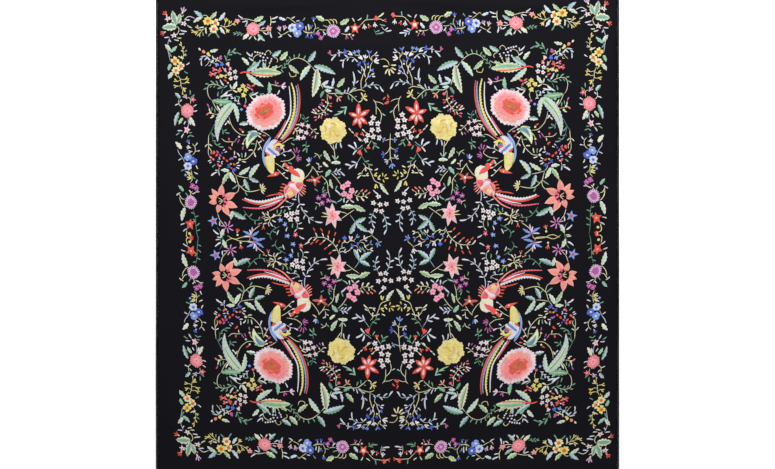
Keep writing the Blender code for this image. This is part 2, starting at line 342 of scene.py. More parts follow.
def add_node(tree, kind, values=None, **settings):
    """A node with some of its settings and inputs set."""
    node = tree.nodes.new(kind)
    for setting, value in settings.items():
        setattr(node, setting, value)
    for label, value in (values or {}).items():
        node.inputs[label].default_value = value
    return node


def join(tree, *wires):
    """Join nodes, each wire given as a node, its output, the next node and its input."""
    for source, output, target, entry in wires:
        tree.links.new(source.outputs[output], target.inputs[entry])


def wear(name, group, values, shine):
    """A material whose Principled shader takes its colour, roughness and normal from a node group."""
    material = bpy.data.materials.new(name)
    material.use_nodes = True
    tree = material.node_tree
    shader = tree.nodes["Principled BSDF"]
    shader.inputs["Specular IOR Level"].default_value = shine
    worn = tree.nodes.new("ShaderNodeGroup")
    worn.node_tree = group
    for label, value in values.items():
        worn.inputs[label].default_value = value
    join(tree, (worn, "Colour", shader, "Base Color"), (worn, "Roughness", shader, "Roughness"),
         (worn, "Normal", shader, "Normal"))
    return material, shader, worn


print("a finish gives", ", ".join(FINISH))

# %% The crepe's pebble, as a node group
CREPE_GRAIN = 900.0
CREPE_THREADS = 2100.0


def crepe_group():
    """Crepe, with its shades, grain and depth as inputs."""
    group, given, result = open_group(
        "silk_crepe_weave",
        {"Shade": (0.01, 0.01, 0.012, 1), "Worn shade": (0.02, 0.02, 0.024, 1)},
        {"Grain": CREPE_GRAIN, "Depth": 0.25},
    )
    spot = add_node(group, "ShaderNodeTexCoord")
    pebble = add_node(group, "ShaderNodeTexNoise", {"Detail": 2.0})
    patches = add_node(group, "ShaderNodeTexNoise", {"Scale": 5.0})
    yarns = add_node(group, "ShaderNodeTexWave", {"Scale": CREPE_THREADS / (2 * math.pi), "Distortion": 1.5})
    height = add_node(group, "ShaderNodeMath", operation="ADD")
    bump = add_node(group, "ShaderNodeBump", {"Distance": 0.0002})
    tint = add_node(group, "ShaderNodeMix", data_type="RGBA")
    rough = add_node(group, "ShaderNodeMapRange", {"To Min": 0.58, "To Max": 0.74})
    join(
        group,
        (spot, "Object", pebble, "Vector"),
        (spot, "Object", patches, "Vector"),
        (spot, "Object", yarns, "Vector"),
        (given, "Grain", pebble, "Scale"),
        (pebble, "Fac", height, 0),
        (yarns, "Fac", height, 1),
        (height, 0, bump, "Height"),
        (given, "Depth", bump, "Strength"),
        (patches, "Fac", tint, "Factor"),
        (given, "Shade", tint, "A"),
        (given, "Worn shade", tint, "B"),
        (pebble, "Fac", rough, "Value"),
        (tint, "Result", result, "Colour"),
        (rough, "Result", result, "Roughness"),
        (bump, "Normal", result, "Normal"),
    )
    return group


CREPE_GROUP = crepe_group()
print("made", CREPE_GROUP.name)

# %% The black crepe
CREPE_SHADE = (0.0018, 0.0016, 0.0028, 1)
CREPE_WORN = (0.0028, 0.0025, 0.0042, 1)
CREPE_SHEEN = (0.92, 0.88, 1.0, 1)


def wear_crepe(name, depth, shine):
    """A crepe material, with its weave as deep and as shiny as asked."""
    values = {"Shade": CREPE_SHADE, "Worn shade": CREPE_WORN, "Grain": CREPE_GRAIN, "Depth": depth}
    material, shader, weave = wear(name, CREPE_GROUP, values, shine)
    shader.inputs["Specular Tint"].default_value = CREPE_SHEEN
    return material


BLACK_CREPE = wear_crepe("black_silk_crepe", 0.25, 0.09)
HEM_CREPE = wear_crepe("rolled_crepe_edge", 0.1, 0.0)
print("made", BLACK_CREPE.name, "and", HEM_CREPE.name)

# %% The strands of floss, as a node group
# millimetres, as in the stitch map
THREAD_WIDTH = 0.5
STRANDS = 2 * math.pi / (20 * THREAD_WIDTH)


def floss_group():
    """Shaded floss: its shade comes in, a painted shade darkens it a little in the grooves between strands,
    and whole lays of strands are a little lighter or darker than their neighbours."""
    group, given, result = open_group(
        "silk_floss_strands",
        {"Shade": (0.8, 0.8, 0.8, 1)},
        {"Strands": STRANDS, "Lays": 0.4, "Depth": 0.3},
    )
    spot = add_node(group, "ShaderNodeUVMap", uv_map="stitch")
    strands = add_node(group, "ShaderNodeTexWave", {"Distortion": 0.8, "Detail": 1.0})
    longer = add_node(group, "ShaderNodeMapping", {"Scale": (1.0, 0.22, 1.0)})
    lays = add_node(group, "ShaderNodeTexNoise", {"Detail": 1.0})
    lay_tone = add_node(
        group, "ShaderNodeMapRange", {"From Min": 0.3, "From Max": 0.7, "To Min": 0.78, "To Max": 1.06}
    )
    both = add_node(group, "ShaderNodeMath", operation="MULTIPLY")
    bump = add_node(group, "ShaderNodeBump", {"Distance": 0.0003})
    # painted shade: the colour is darkened down to 0.82 in the low grooves of the strands' wave
    groove_shade = add_node(group, "ShaderNodeMapRange", {"To Min": 0.82, "To Max": 1.0})
    shade = add_node(group, "ShaderNodeMix", {"Factor": 1.0}, data_type="RGBA", blend_type="MULTIPLY")
    rough = add_node(group, "ShaderNodeMapRange", {"To Min": 0.52, "To Max": 0.38})
    join(
        group,
        (spot, "UV", strands, "Vector"),
        (given, "Strands", strands, "Scale"),
        (strands, "Fac", bump, "Height"),
        (given, "Depth", bump, "Strength"),
        (strands, "Fac", groove_shade, "Value"),
        (spot, "UV", longer, "Vector"),
        (longer, "Vector", lays, "Vector"),
        (given, "Lays", lays, "Scale"),
        (lays, "Fac", lay_tone, "Value"),
        (lay_tone, "Result", both, 0),
        (groove_shade, "Result", both, 1),
        (strands, "Fac", rough, "Value"),
        (given, "Shade", shade, "A"),
        (both, 0, shade, "B"),
        (shade, "Result", result, "Colour"),
        (rough, "Result", result, "Roughness"),
        (bump, "Normal", result, "Normal"),
    )
    return group


FLOSS_GROUP = floss_group()
print("made", FLOSS_GROUP.name)

# %% Satin stitch and stem stitch
FLOSS_SHINE = 0.45


def wind_floss(name, lays, depth):
    """A floss material that reads each stitch's shade from the mesh."""
    values = {"Strands": STRANDS, "Lays": lays, "Depth": depth}
    material, shader, floss = wear(name, FLOSS_GROUP, values, FLOSS_SHINE)
    shader.inputs["Sheen Weight"].default_value = 0.08
    shader.inputs["Sheen Roughness"].default_value = 0.3
    shade = add_node(material.node_tree, "ShaderNodeVertexColor", layer_name="floss_shade")
    join(material.node_tree, (shade, "Color", floss, "Shade"))
    return material


SATIN_FLOSS = wind_floss("satin_stitch_floss", 0.35, 0.35)
STEM_FLOSS = wind_floss("stem_stitch_floss", 0.35, 0.12)
print("made", SATIN_FLOSS.name, "and", STEM_FLOSS.name)

# %% [markdown]
# ## The ground cloth
# One thin shell on the measured wall. A grid is bent to the cloth's lie and given its thickness by
# extruding it, so the underside stays flat on the floor wherever the cloth rests.

# %% Make the ground cloth
CLOTH_CELLS = (190, 198)
CLOTH_WALL = 0.0012


def name_piece(piece, slot, *nodes):
    """Every piece rides on the one body and hides the solids that it stands for; its slot is not used."""
    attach(piece, "root")
    if nodes:
        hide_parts(*nodes)
    return piece


def finish_mesh(name, draft, material):
    """Turn a bmesh into a smooth object that wears one material."""
    mesh = bpy.data.meshes.new(name)
    draft.to_mesh(mesh)
    draft.free()
    mesh.shade_smooth()
    mesh.materials.append(material)
    piece = bpy.data.objects.new(name, mesh)
    bpy.context.scene.collection.objects.link(piece)
    return piece


def make_ground():
    """The square of crepe, bent to its lie, with its wall extruded upwards."""
    low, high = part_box("ground_cloth")
    draft = bmesh.new()
    bmesh.ops.create_grid(draft, x_segments=CLOTH_CELLS[0], y_segments=CLOTH_CELLS[1], size=1.0)
    spots = np.array([vert.co[:] for vert in draft.verts])
    xs = (low.x + high.x) / 2 + spots[:, 0] * (high.x - low.x) / 2
    ys = (low.y + high.y) / 2 + spots[:, 1] * (high.y - low.y) / 2
    for vert, x, y, z in zip(draft.verts, xs, ys, lie(xs, ys)):
        vert.co = (x, y, z)
    raised = bmesh.ops.extrude_face_region(draft, geom=draft.faces)["geom"]
    upper = [part for part in raised if isinstance(part, bmesh.types.BMVert)]
    bmesh.ops.translate(draft, verts=upper, vec=(0, 0, CLOTH_WALL))
    bmesh.ops.recalc_face_normals(draft, faces=draft.faces)
    return finish_mesh("crepe_ground", draft, BLACK_CREPE)


ground = name_piece(make_ground(), "black_crepe", "ground_cloth")
print("ground cloth:", len(ground.data.polygons), "faces")

# %% [markdown]
# ## The rolled hems
# A shawl maker rolls the raw edge between finger and thumb and catches it down, so the hem is a thin
# cord of cloth with small pulls in it. A ring is carried along each edge and pinched a little.

# %% Roll the hems
HEM_STATIONS = 260
HEM_PULL = 0.02
HEM_SIDES = 10
HEM_THICK = 0.0024
# stations from one small pull to the next
HEM_PULL_EVERY = 9


def roll_hem(side):
    """One hem along its measured solid: a half-round roll with a flat foot and small even pulls."""
    low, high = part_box(f"hem_{side}")
    level = side in ("top", "bottom")
    start, end = (low.x, high.x) if level else (low.y, high.y)
    inner, outer = (low.y, high.y) if level else (low.x, high.x)
    middle, half = (inner + outer) / 2, (outer - inner) / 2
    draft = bmesh.new()
    ring = [draft.verts.new((0, 0, 0)) for _ in range(HEM_SIDES)]
    edges = [draft.edges.new((ring[i], ring[(i + 1) % HEM_SIDES])) for i in range(HEM_SIDES)]
    draft.faces.new(ring)
    rings = [ring]
    for _ in range(HEM_STATIONS):
        grown = bmesh.ops.extrude_edge_only(draft, edges=edges)["geom"]
        found = {edge.verts[0] for edge in edges} | {edge.verts[1] for edge in edges}
        edges = [part for part in grown if isinstance(part, bmesh.types.BMEdge)
                 and not (set(part.verts) & found)]
        ring = [part for part in grown if isinstance(part, bmesh.types.BMVert)]
        rings.append(ring)
    draft.faces.new(rings[-1])
    for i, ring in enumerate(rings):
        along = start + (end - start) * i / HEM_STATIONS
        x, y = (along, middle) if level else (middle, along)
        foot = float(lie(x, y))
        pull = 1 - HEM_PULL * (0.5 + 0.5 * math.sin(2 * math.pi * i / HEM_PULL_EVERY))
        for k, vert in enumerate(ring):
            angle = 2 * math.pi * (k + 0.5) / HEM_SIDES
            aside = middle + half * math.cos(angle)
            up = foot + HEM_THICK * pull * max(0.0, 0.5 + 0.62 * math.sin(angle))
            vert.co = (along, aside, up) if level else (aside, along, up)
    bmesh.ops.recalc_face_normals(draft, faces=draft.faces)
    return finish_mesh(f"rolled_hem_{side}", draft, HEM_CREPE)


for side in ("top", "bottom", "left", "right"):
    hem = name_piece(roll_hem(side), "black_crepe", f"hem_{side}")

# %% [markdown]
# ## One stitched shape
# Leaves, petals, feathers and stems are all the same thing to a needle: a row of stitches laid across a
# route, wide or narrow, padded a little in the middle. So one small grid serves them all. It is made
# once with an operator, and every stitched shape is a copy of its points, laid along its own route.

# %% The padding grids
def padding_grid(along, across):
    """The points (along 0 to 1, across -1 to 1) and faces of one small grid."""
    draft = bmesh.new()
    bmesh.ops.create_grid(draft, x_segments=along, y_segments=across, size=1.0)
    draft.verts.index_update()
    points = np.array([((vert.co.x + 1) / 2, vert.co.y) for vert in draft.verts])
    faces = np.array([[vert.index for vert in face.verts] for face in draft.faces])
    draft.free()
    return points, faces


GRIDS = {
    "petal": padding_grid(8, 4), "broad": padding_grid(40, 6), "stem": padding_grid(20, 2),
    "feather": padding_grid(96, 4), "stroke": padding_grid(6, 2),
}
print({name: len(faces) for name, (points, faces) in GRIDS.items()}, "faces in each grid")

# %% How wide a shape is along its route
def round_ended(along, foot, shoulder, cap):
    """Sides that swell from a foot to a shoulder, then close in a round cap."""
    return np.where(
        along < shoulder,
        foot + (1 - foot) * np.sin(np.clip(along / shoulder, 0, 1) * math.pi / 2),
        np.sqrt(np.clip(1.02 - ((along - shoulder) / cap) ** 2, 0.004, 1)),
    )


def outline(shape, along):
    """The share of full width at each step from base to tip."""
    if shape == "leaf":
        return 0.05 + 0.95 * np.sin(math.pi * along**0.85) ** 0.8
    if shape == "stroke":
        return (0.58 + 0.42 * along) * np.sqrt(np.clip(1.02 - abs(2 * along - 1) ** 3.2, 0.02, 1))
    if shape == "sickle":
        return 0.05 + 0.95 * np.clip(np.sin(math.pi * along**0.57), 0, 1) ** 0.9
    if shape == "petal":
        return round_ended(along, foot=0.3, shoulder=0.62, cap=0.385)
    if shape == "scallop":
        return round_ended(along, foot=0.5, shoulder=0.8, cap=0.205)
    if shape == "point":
        return 0.05 + 0.95 * np.clip(np.sin(math.pi * (0.18 + 0.82 * along) ** 0.8), 0, 1)
    if shape == "wedge":
        return np.clip(1.03 - along, 0.03, 1) ** 0.85
    if shape == "round":
        return np.sqrt(np.clip(1.01 - (2 * along - 1) ** 2, 0.01, 1))
    if shape == "feather":
        return np.clip(1.0 - 0.55 * along**3, 0, 1) * np.clip(12 * along + 0.3, 0, 1)
    # a stem or a band keeps its width and is only eased at its ends
    return np.clip(10 * along + 0.5, 0, 1) * np.clip(10 * (1 - along) + 0.5, 0, 1)


print("a leaf is widest at", round(float(np.argmax(outline("leaf", np.linspace(0, 1, 101)))) / 100, 2))

# %% A list of stitched shapes
# floss pulls a stem in to a share of its drawn width
STEM_SHARE = 0.86
# a stroke's width in squares: its least, and its growth with its length
STROKE_LEAST = 0.7
STROKE_GROWTH = 0.13
STROKE_BEND = 0.06


class Stitching:
    """Stitched shapes of one piece, in chart squares, waiting to be laid on the cloth."""

    def __init__(self):
        self.rows = {grid: [] for grid in GRIDS}

    def lay(self, route, width, blend, shape="leaf", lift=0.0, grid="petal", notch=(0.0, 0.0)):
        """Add one shape: its route of (across, down) squares, full width, shading and layer. notch is
        how deep the steps in its left and right edge are, as shares of half the width, and how many
        squares apart they are if that isn't the usual."""
        self.rows[grid].append((np.array(route, float), width, blend, shape, lift, notch))

    def leaf(self, across, down, tip_across, tip_down, width, blend, bend=0.0, **more):
        """A shape from its base to its tip, bent sideways by a share of its length."""
        step = np.linspace(0, 1, 5)
        run = np.array([tip_across - across, tip_down - down])
        aside = np.array([-run[1], run[0]]) * bend
        route = np.array([across, down]) + step[:, None] * run + np.sin(math.pi * step)[:, None] * aside
        self.lay(route, width, blend, **more)

    def stroke(self, across, down, tip_across, tip_down, blend, width=None, lift=0.3):
        """A single thin stroke of satin stitch, as in a leaflet: a long one is a little wider."""
        length = math.hypot(tip_across - across, tip_down - down)
        width = STROKE_LEAST + STROKE_GROWTH * length if width is None else width
        self.leaf(across, down, tip_across, tip_down, width, blend, STROKE_BEND, shape="stroke",
                  lift=lift, grid="stroke")

    def stem(self, blend, width, *route, lift=0.0):
        """A stem or vine in stem stitch, or a vein when it is lifted over a leaf."""
        self.lay(route, STEM_SHARE * width, blend, shape="stem", grid="stem", lift=lift)


def along_route(route, steps):
    """Evenly spaced points on a smooth curve through a route's own points."""
    route = np.asarray(route, float)
    if len(route) == 2:
        route = np.array([route[0], route.mean(0), route[1]])
    ahead = np.vstack([2 * route[0] - route[1], route, 2 * route[-1] - route[-2]])
    fine = []
    for i in range(len(route) - 1):
        a, b, c, d = ahead[i : i + 4]
        t = np.linspace(0, 1, 8, endpoint=i == len(route) - 2)[:, None]
        square, cube = 2 * a - 5 * b + 4 * c - d, 3 * b - a - 3 * c + d
        fine.append(0.5 * (2 * b + (c - a) * t + square * t**2 + cube * t**3))
    fine = np.vstack(fine)
    far = np.concatenate([[0], np.cumsum(np.linalg.norm(np.diff(fine, axis=0), axis=1))])
    wanted = np.asarray(steps) * far[-1]
    return np.stack([np.interp(wanted, far, fine[:, k]) for k in (0, 1)], axis=-1)


print("a hooked route has", len(along_route([(0, 0), (4, 1), (5, 5)], np.linspace(0, 1, 9))), "even points")

# %% The floss shade at each place of a shape
# shares of the length: how far the base shade reaches, where the tip shade starts
BASE_REACH = 0.35
TIP_START = 0.6
# the shade down the middle: its strength, and the share of half the width that it takes
RIB_SHARE = 0.8
RIB_HALF = 0.1
# the edge shades: their strength, and where they start, in a shape of two halves right at the vein
EDGE_SHARE = 0.85
EDGE_START = 0.42
HALF_START = 0.05


def shade_of(blend, along, across):
    """The floss shade at each point of a stitched shape."""
    base, body, tip, left, right, rib = BLEND_SHADES[BLEND_ORDER.index(blend)]
    near = np.clip(1 - along / BASE_REACH, 0, 1)[:, None]
    far = np.clip((along - TIP_START) / BASE_REACH, 0, 1)[:, None]
    shade = body * (1 - near) * (1 - far) + base * near + tip * far
    fading = np.clip(4 * (1 - along), 0, 1)[:, None]
    middle = np.where(abs(across) < RIB_HALF, RIB_SHARE, 0.0)[:, None] * fading
    shade = shade * (1 - middle) + rib * middle
    start = HALF_START if blend in HALVES else EDGE_START
    edge = EDGE_SHARE * np.clip((abs(across) - start) / 0.25, 0, 1)[:, None]
    shade = shade * (1 - edge) + np.where(across[:, None] < 0, left, right) * edge
    if blend in RIMMED:
        rim = np.clip((abs(across) - 0.5) / 0.3, 0, 1)[:, None]
        shade = shade * (1 - rim) + linear(RIM_THREAD) * FLOSS_DEPTH * rim
    return shade


print("shades run", BASE_REACH, "of the length in from each end")

# %% Shape the rows of one grid
# metres: a shape's edge sinks in, each layer lifts, and padding grows with the width in squares
SINK = 0.00012
LAYER = 0.0004
PAD_LOW = 0.0002
PAD_RISE = 0.00006
PAD_HIGH = 0.0005
# each shape is a little lighter or darker than the next
TONE_SPREAD = 0.07
# squares between two notches: in a leaf, in a feather
NOTCH_STEP = (3.5, 1.9)
# how little of a notch is left at a leaf's tooth, and how sharply the tooth tapers
TOOTH_TIP = 0.85
TOOTH_POWER = 1.5
# in leaves and feathers the stitches slant back from the middle by a share of their length
STITCH_SLANT = 0.6
# shapes whose floss runs from base to tip; in the others it runs from side to side
LONG_STITCHED = ("petal", "scallop", "round", "wedge")
SQUARE_MM = 1000 * SQUARE


def shape_row(row, points):
    """One shape's points in chart squares, their height over the cloth, their shades, and where
    each lies in the stitching: millimetres across the threads, then along them."""
    route, width, blend, shape, lift, notch = row
    along, across = points[:, 0], points[:, 1]
    steps = np.unique(along.round(6))
    line = along_route(route, steps)
    run = np.gradient(line, axis=0)
    run /= np.maximum(np.linalg.norm(run, axis=1, keepdims=True), 1e-9)
    index = np.searchsorted(steps, along - 1e-4)
    half = width / 2 * outline(shape, along)
    if any(notch):
        length = np.linalg.norm(np.diff(line, axis=0), axis=1).sum()
        every = notch[2] if len(notch) > 2 else NOTCH_STEP[shape == "feather"]
        count = len(steps) - 1
        step = along * count / max(3, round(count * every / length)) % 1
        depth = np.where(across < 0, notch[0], notch[1]) * np.clip((abs(across) - 0.4) / 0.5, 0, 1)
        wave = np.sin(math.pi * step**0.8)
        if shape == "feather":
            half = half * (1 - depth * (1 - wave**2))
        else:
            half = half * (1 - depth * (TOOTH_TIP - wave**TOOTH_POWER))
    aside = np.stack([-run[index, 1], run[index, 0]], axis=-1)
    spot = line[index] + aside * (half * across)[:, None]
    pad = min(PAD_LOW + PAD_RISE * width, PAD_HIGH)
    ends = np.clip(np.sin(math.pi * np.clip(along, 0.02, 0.98)) * 1.6, 0, 1)
    dome = (1 - abs(across) ** 2.4) * ends
    height = pad * dome + lift * LAYER - SINK * (abs(across) > 0.9)
    tone = 1 + TONE_SPREAD * math.sin(7.3 * route[-1][0] + 3.1 * route[-1][1])
    length = SQUARE_MM * np.linalg.norm(np.diff(line, axis=0), axis=1).sum()
    aside = SQUARE_MM * half * across
    if shape in LONG_STITCHED:
        stitch = np.stack([aside, along * length], axis=-1)
    elif shape == "stem":
        stitch = np.stack([along * length + aside, aside], axis=-1)
    else:
        stitch = np.stack([along * length - STITCH_SLANT * abs(aside), aside], axis=-1)
    return spot, height, shade_of(blend, along, across) * tone, stitch + route[0]


print("padding is", 1000 * PAD_LOW, "to", 1000 * PAD_HIGH, "mm high")

# %% Lay the stitching on the cloth
# each blend's cell of the baked sheet has a margin, as a share of the cell
ATLAS_MARGIN = 0.08


def lay_on_cloth(name, stitching, quarter):
    """Make one piece from all its stitched shapes, in one quarter of the cloth."""
    spots, heights, shades, faces, stitch_map, atlas_map, looks = [], [], [], [], [], [], []
    count = 0
    for grid, (points, grid_faces) in GRIDS.items():
        look = 1 if grid == "stem" else 0
        for row in stitching.rows[grid]:
            spot, height, shade, stitch = shape_row(row, points)
            spots.append(spot)
            heights.append(height)
            shades.append(shade)
            faces.append(grid_faces + count)
            looks.append(np.full(len(grid_faces), look))
            count += len(points)
            cell = BLEND_ORDER.index(row[2])
            inside = np.stack([(points[:, 1] + 1) / 2, points[:, 0]], axis=-1)
            inside = ATLAS_MARGIN + (1 - 2 * ATLAS_MARGIN) * inside
            atlas_map.append((inside + (cell % ATLAS_SIDE, cell // ATLAS_SIDE)) / ATLAS_SIDE)
            stitch_map.append(stitch)
    spots, heights = np.vstack(spots), np.concatenate(heights)
    x, y = place(quarter, spots[:, 0], spots[:, 1])
    co = np.stack([x, y, lie(x, y) + CLOTH_WALL + heights], axis=-1)
    faces = np.vstack(faces)
    corner = co[faces]
    facing = np.cross(corner[:, 1] - corner[:, 0], corner[:, 2] - corner[:, 0])[:, 2]
    if np.median(facing) < 0:
        faces = faces[:, ::-1]
    mesh = bpy.data.meshes.new(name)
    mesh.from_pydata(co.tolist(), [], faces.tolist())
    mesh.polygons.foreach_set("material_index", np.concatenate(looks).astype(np.int32))
    loop = faces.reshape(-1)
    for label, values in (("OFBake", np.vstack(atlas_map)), ("stitch", np.vstack(stitch_map))):
        layer = mesh.uv_layers.new(name=label)
        layer.data.foreach_set("uv", values[loop].astype(np.float32).reshape(-1))
    colour = mesh.color_attributes.new("floss_shade", "FLOAT_COLOR", "POINT")
    rgba = np.hstack([np.vstack(shades), np.ones((len(co), 1))])
    colour.data.foreach_set("color", rgba.astype(np.float32).reshape(-1))
    mesh.shade_smooth()
    mesh.materials.append(SATIN_FLOSS)
    mesh.materials.append(STEM_FLOSS)
    mesh.validate()
    piece = bpy.data.objects.new(name, mesh)
    bpy.context.scene.collection.objects.link(piece)
    return piece


print("the baked sheet is", ATLAS_SIDE, "cells a side")

# %% [markdown]
# ## Small shapes made of petals
# A chart names the same few small things again and again: five-petalled blossoms, open tulips, buds and
# sprigs. Each is a short function that lays its petals.

# %% Kinds of blossom and tulip
# columns: petals, petal blend, heart blend, heart share, petal outline, petal width share
BLOSSOMS = {
    "white_star": (5, "snow", "rose", 0.24, "wedge", 0.62),
    "yellow_rosette": (8, "yellow", "amber", 0.42, "petal", 0.54),
    "cream_rosette": (8, "pale_yellow", "amber", 0.42, "petal", 0.54),
    "salmon_star": (5, "shell", "coral", 0.22, "wedge", 0.95),
    "pink_star": (5, "pink_star", "flush", 0.22, "wedge", 0.86),
    "ice_daisy": (7, "pale_sky", "royal", 0.34, "petal", 0.76),
    "royal_daisy": (6, "royal", "cream", 0.28, "petal", 0.84),
    "sky_daisy": (6, "sky", "cream", 0.28, "petal", 0.84),
    "magenta_cross": (4, "magenta", "lilac", 0.24, "petal", 0.9),
    "magenta_star": (5, "orchid", "lilac", 0.26, "petal", 0.56),
    "sky_small": (5, "sky", "white", 0.20, "point", 0.52),
    "rose_small": (5, "rose", "pink_star", 0.22, "point", 0.52),
    "red_cross": (4, "scarlet", "salmon", 0.2, "petal", 0.9),
    "white_small": (5, "snow", "brick", 0.25, "point", 0.70),
    "white_blossom": (5, "snow", "umber", 0.22, "point", 0.66),
    "beige_star": (5, "blush", "butter", 0.18, "point", 0.58),
    "pink_blossom": (5, "pink_bloom", "rose", 0.22, "petal", 0.80),
    "yellow_star": (5, "yellow", "lilac", 0.22, "point", 0.78),
    "blue_star": (5, "sky", "scarlet", 0.30, "wedge", 0.62),
    "red_star": (5, "scarlet", "shell", 0.20, "wedge", 0.78),
    "red_ringed": (5, "scarlet", "cream", 0.36, "wedge", 0.80),
}
# columns: petal blend, calyx blend
TULIPS = {
    "scarlet": ("scarlet", "knob"), "lilac": ("lilac", "knob"), "yellow": ("yellow", "knob"),
    "gold": ("yellow", "olive"), "straw": ("straw_leaf", "olive"), "white": ("white", "knob"),
    "magenta": ("magenta", "knob"), "pink": ("flush", "knob"), "navy": ("royal", "olive"),
}
print(len(BLOSSOMS), "kinds of blossom,", len(TULIPS), "kinds of tulip")

# %% Blossoms
# a blossom's turn follows its place on the chart, so that no two neighbours stand alike
GOLDEN_TURN = 23.0
# petals start a little off the middle, and stand and reach a little unevenly
PETAL_START = 0.12
PETAL_SWAY = 9
PETAL_UNEVEN = 0.10
HEART_LIFT = 1.6


def lay_blossom(work, kind, across, down, radius, turn=None, lift=0.6):
    """Petals round a raised heart."""
    petals, blend, heart, share, shape, width = BLOSSOMS[kind]
    turn = GOLDEN_TURN * (across + down) % 360 if turn is None else turn
    for i in range(petals):
        angle = math.radians(turn + 360 * i / petals + PETAL_SWAY * math.sin(3 * i + across))
        reach = radius * (1 + PETAL_UNEVEN * math.sin(5 * i + down))
        way = (math.sin(angle), -math.cos(angle))
        work.leaf(
            across + way[0] * radius * PETAL_START, down + way[1] * radius * PETAL_START,
            across + way[0] * reach, down + way[1] * reach, width * radius, blend, shape=shape, lift=lift,
        )
    lay_bud(work, heart, across, down, radius * share, lift + HEART_LIFT)


def lay_bud(work, blend, across, down, radius, lift=0.8):
    """One small round: a bud, a grape or a flower's heart."""
    work.leaf(across, down - radius, across, down + radius, 2 * radius, blend, shape="round", lift=lift)


print("the fullest blossom has", max(row[0] for row in BLOSSOMS.values()), "petals")

# %% Fans and tulips
# every second stroke of a fan is shorter and lies a layer lower
FAN_SHORTER = 0.12
FAN_WIDTH = 0.70
FAN_GROWTH = 0.11
# a tulip's calyx runs from its foot to its neck, as shares of its size behind its middle
TULIP_FOOT = 0.55
TULIP_NECK = 0.10
# the sizes from which a tulip has two petals, and three
TULIP_TWO = 3.5
TULIP_THREE = 4


def lay_fan(work, blend, across, down, turn, size, strokes=3, spread=56):
    """Strokes that fan out from one base, as petals of an open bud do."""
    for i in range(strokes):
        angle = math.radians(turn + spread * (i / (strokes - 1) - 0.5))
        way = (math.sin(angle), math.cos(angle))
        reach = size * (1.0 - FAN_SHORTER * (i % 2 == 0))
        work.stroke(across + way[0] * size * PETAL_START, down - way[1] * size * PETAL_START,
                    across + way[0] * reach, down - way[1] * reach, blend,
                    FAN_WIDTH + FAN_GROWTH * size, 0.5 + 0.4 * (i % 2))


def lay_tulip(work, kind, across, down, turn, size):
    """A bud seen from the side: a pale knob with three petals, or a slim one with one or two."""
    blend, calyx = TULIPS[kind]
    angle = math.radians(turn)
    way = (math.sin(angle), -math.cos(angle))
    foot = (across - way[0] * size * TULIP_FOOT, down - way[1] * size * TULIP_FOOT)
    neck = (across - way[0] * size * TULIP_NECK, down - way[1] * size * TULIP_NECK)
    if size < TULIP_TWO:
        work.stroke(*foot, *neck, calyx, 0.9, 0.8)
        tip = (across + way[0] * size * 0.75, down + way[1] * size * 0.75)
        work.stroke(*neck, *tip, blend, 1.25, 0.5)
        return
    petals, spread = (3, 62) if size >= TULIP_THREE else (2, 44)
    lay_fan(work, blend, *(np.add(foot, neck) / 2), turn, 1.02 * size, petals, spread)
    work.leaf(*foot, *neck, 0.25 * size, calyx, shape="round", lift=1.2)


print("a tulip of", TULIP_THREE, "squares or more has three petals")

# %% Sprigs and leaves
SPRIG_STEM = 0.75
# a sprig's leaflets stand from here to here on its stem, and lean out by these shares
SPRIG_FROM, SPRIG_SPAN = 0.14, 0.80
SPRIG_ALONG, SPRIG_ASIDE = 0.78, 0.62
SPRIG_STEPS = 40
# how deep a leaf's notches are, in squares, and as most of its half width
NOTCH_DEPTH = 1.15
NOTCH_MOST = 0.32
LEAF_BEND = 0.05


def lay_sprig(work, blend, stem, leaflets, length, *route):
    """A stem with leaflets to both sides in turn, and one at its tip."""
    work.stem(stem, SPRIG_STEM, *route)
    line = along_route(route, np.linspace(0, 1, SPRIG_STEPS + 1))
    run = np.gradient(line, axis=0)
    for i in range(leaflets):
        step = int(SPRIG_STEPS * (SPRIG_FROM + SPRIG_SPAN * i / max(leaflets - 1, 1)))
        side = 1 if i % 2 else -1
        way = run[step] / np.linalg.norm(run[step])
        aside = np.array([-way[1], way[0]]) * side
        tip = line[step] + (SPRIG_ALONG * way + SPRIG_ASIDE * aside) * length
        work.stroke(*line[step], *tip, blend)
    tip = line[-1] + run[-1] / np.linalg.norm(run[-1]) * length
    work.stroke(*line[-1], *tip, blend)


def lay_leaf(work, blend, across, down, tip_across, tip_down, width=None, bend=LEAF_BEND):
    """A toothed leaf, or one thin stroke where the chart gives no width."""
    if width is None:
        work.stroke(across, down, tip_across, tip_down, blend)
        return
    notch = min(NOTCH_MOST, 2 * NOTCH_DEPTH / width)
    work.leaf(across, down, tip_across, tip_down, width, blend, bend, lift=0.3, grid="broad",
              notch=(notch, notch))


print("a sprig's stem is", SPRIG_STEM, "squares wide")

# %% Work one area from its chart
VEIN_LIFT = 1.8
LAID_BY = {"leaves": lay_leaf, "fans": lay_fan, "tulips": lay_tulip, "blossoms": lay_blossom, "buds": lay_bud}


def work_area(chart):
    """Lay everything that a chart lists for one area, in the chart's order."""
    work = Stitching()
    for part, floss, *rows in chart:
        for row in rows:
            if part == "stems":
                work.stem(floss, *row)
            elif part == "veins":
                work.stem(floss, *row, lift=VEIN_LIFT)
            elif part == "strokes":
                work.stroke(*row[:4], floss, row[4])
            elif part == "sprigs":
                lay_sprig(work, *floss, *row)
            else:
                LAID_BY[part](work, floss, *row)
    return work


def count_rows(*charts):
    """How many shapes and sprays some charts list."""
    return sum(len(rows) for chart in charts for _, _, *rows in chart)


print(len(LAID_BY), "kinds of small shape have a function of their own")

# %% [markdown]
# ## The chart of the border
# The border is a running band of small flowers between two empty strips. Its chart lists what a worker
# would prick through the paper: where each leaf starts and ends and how wide it is, in squares.

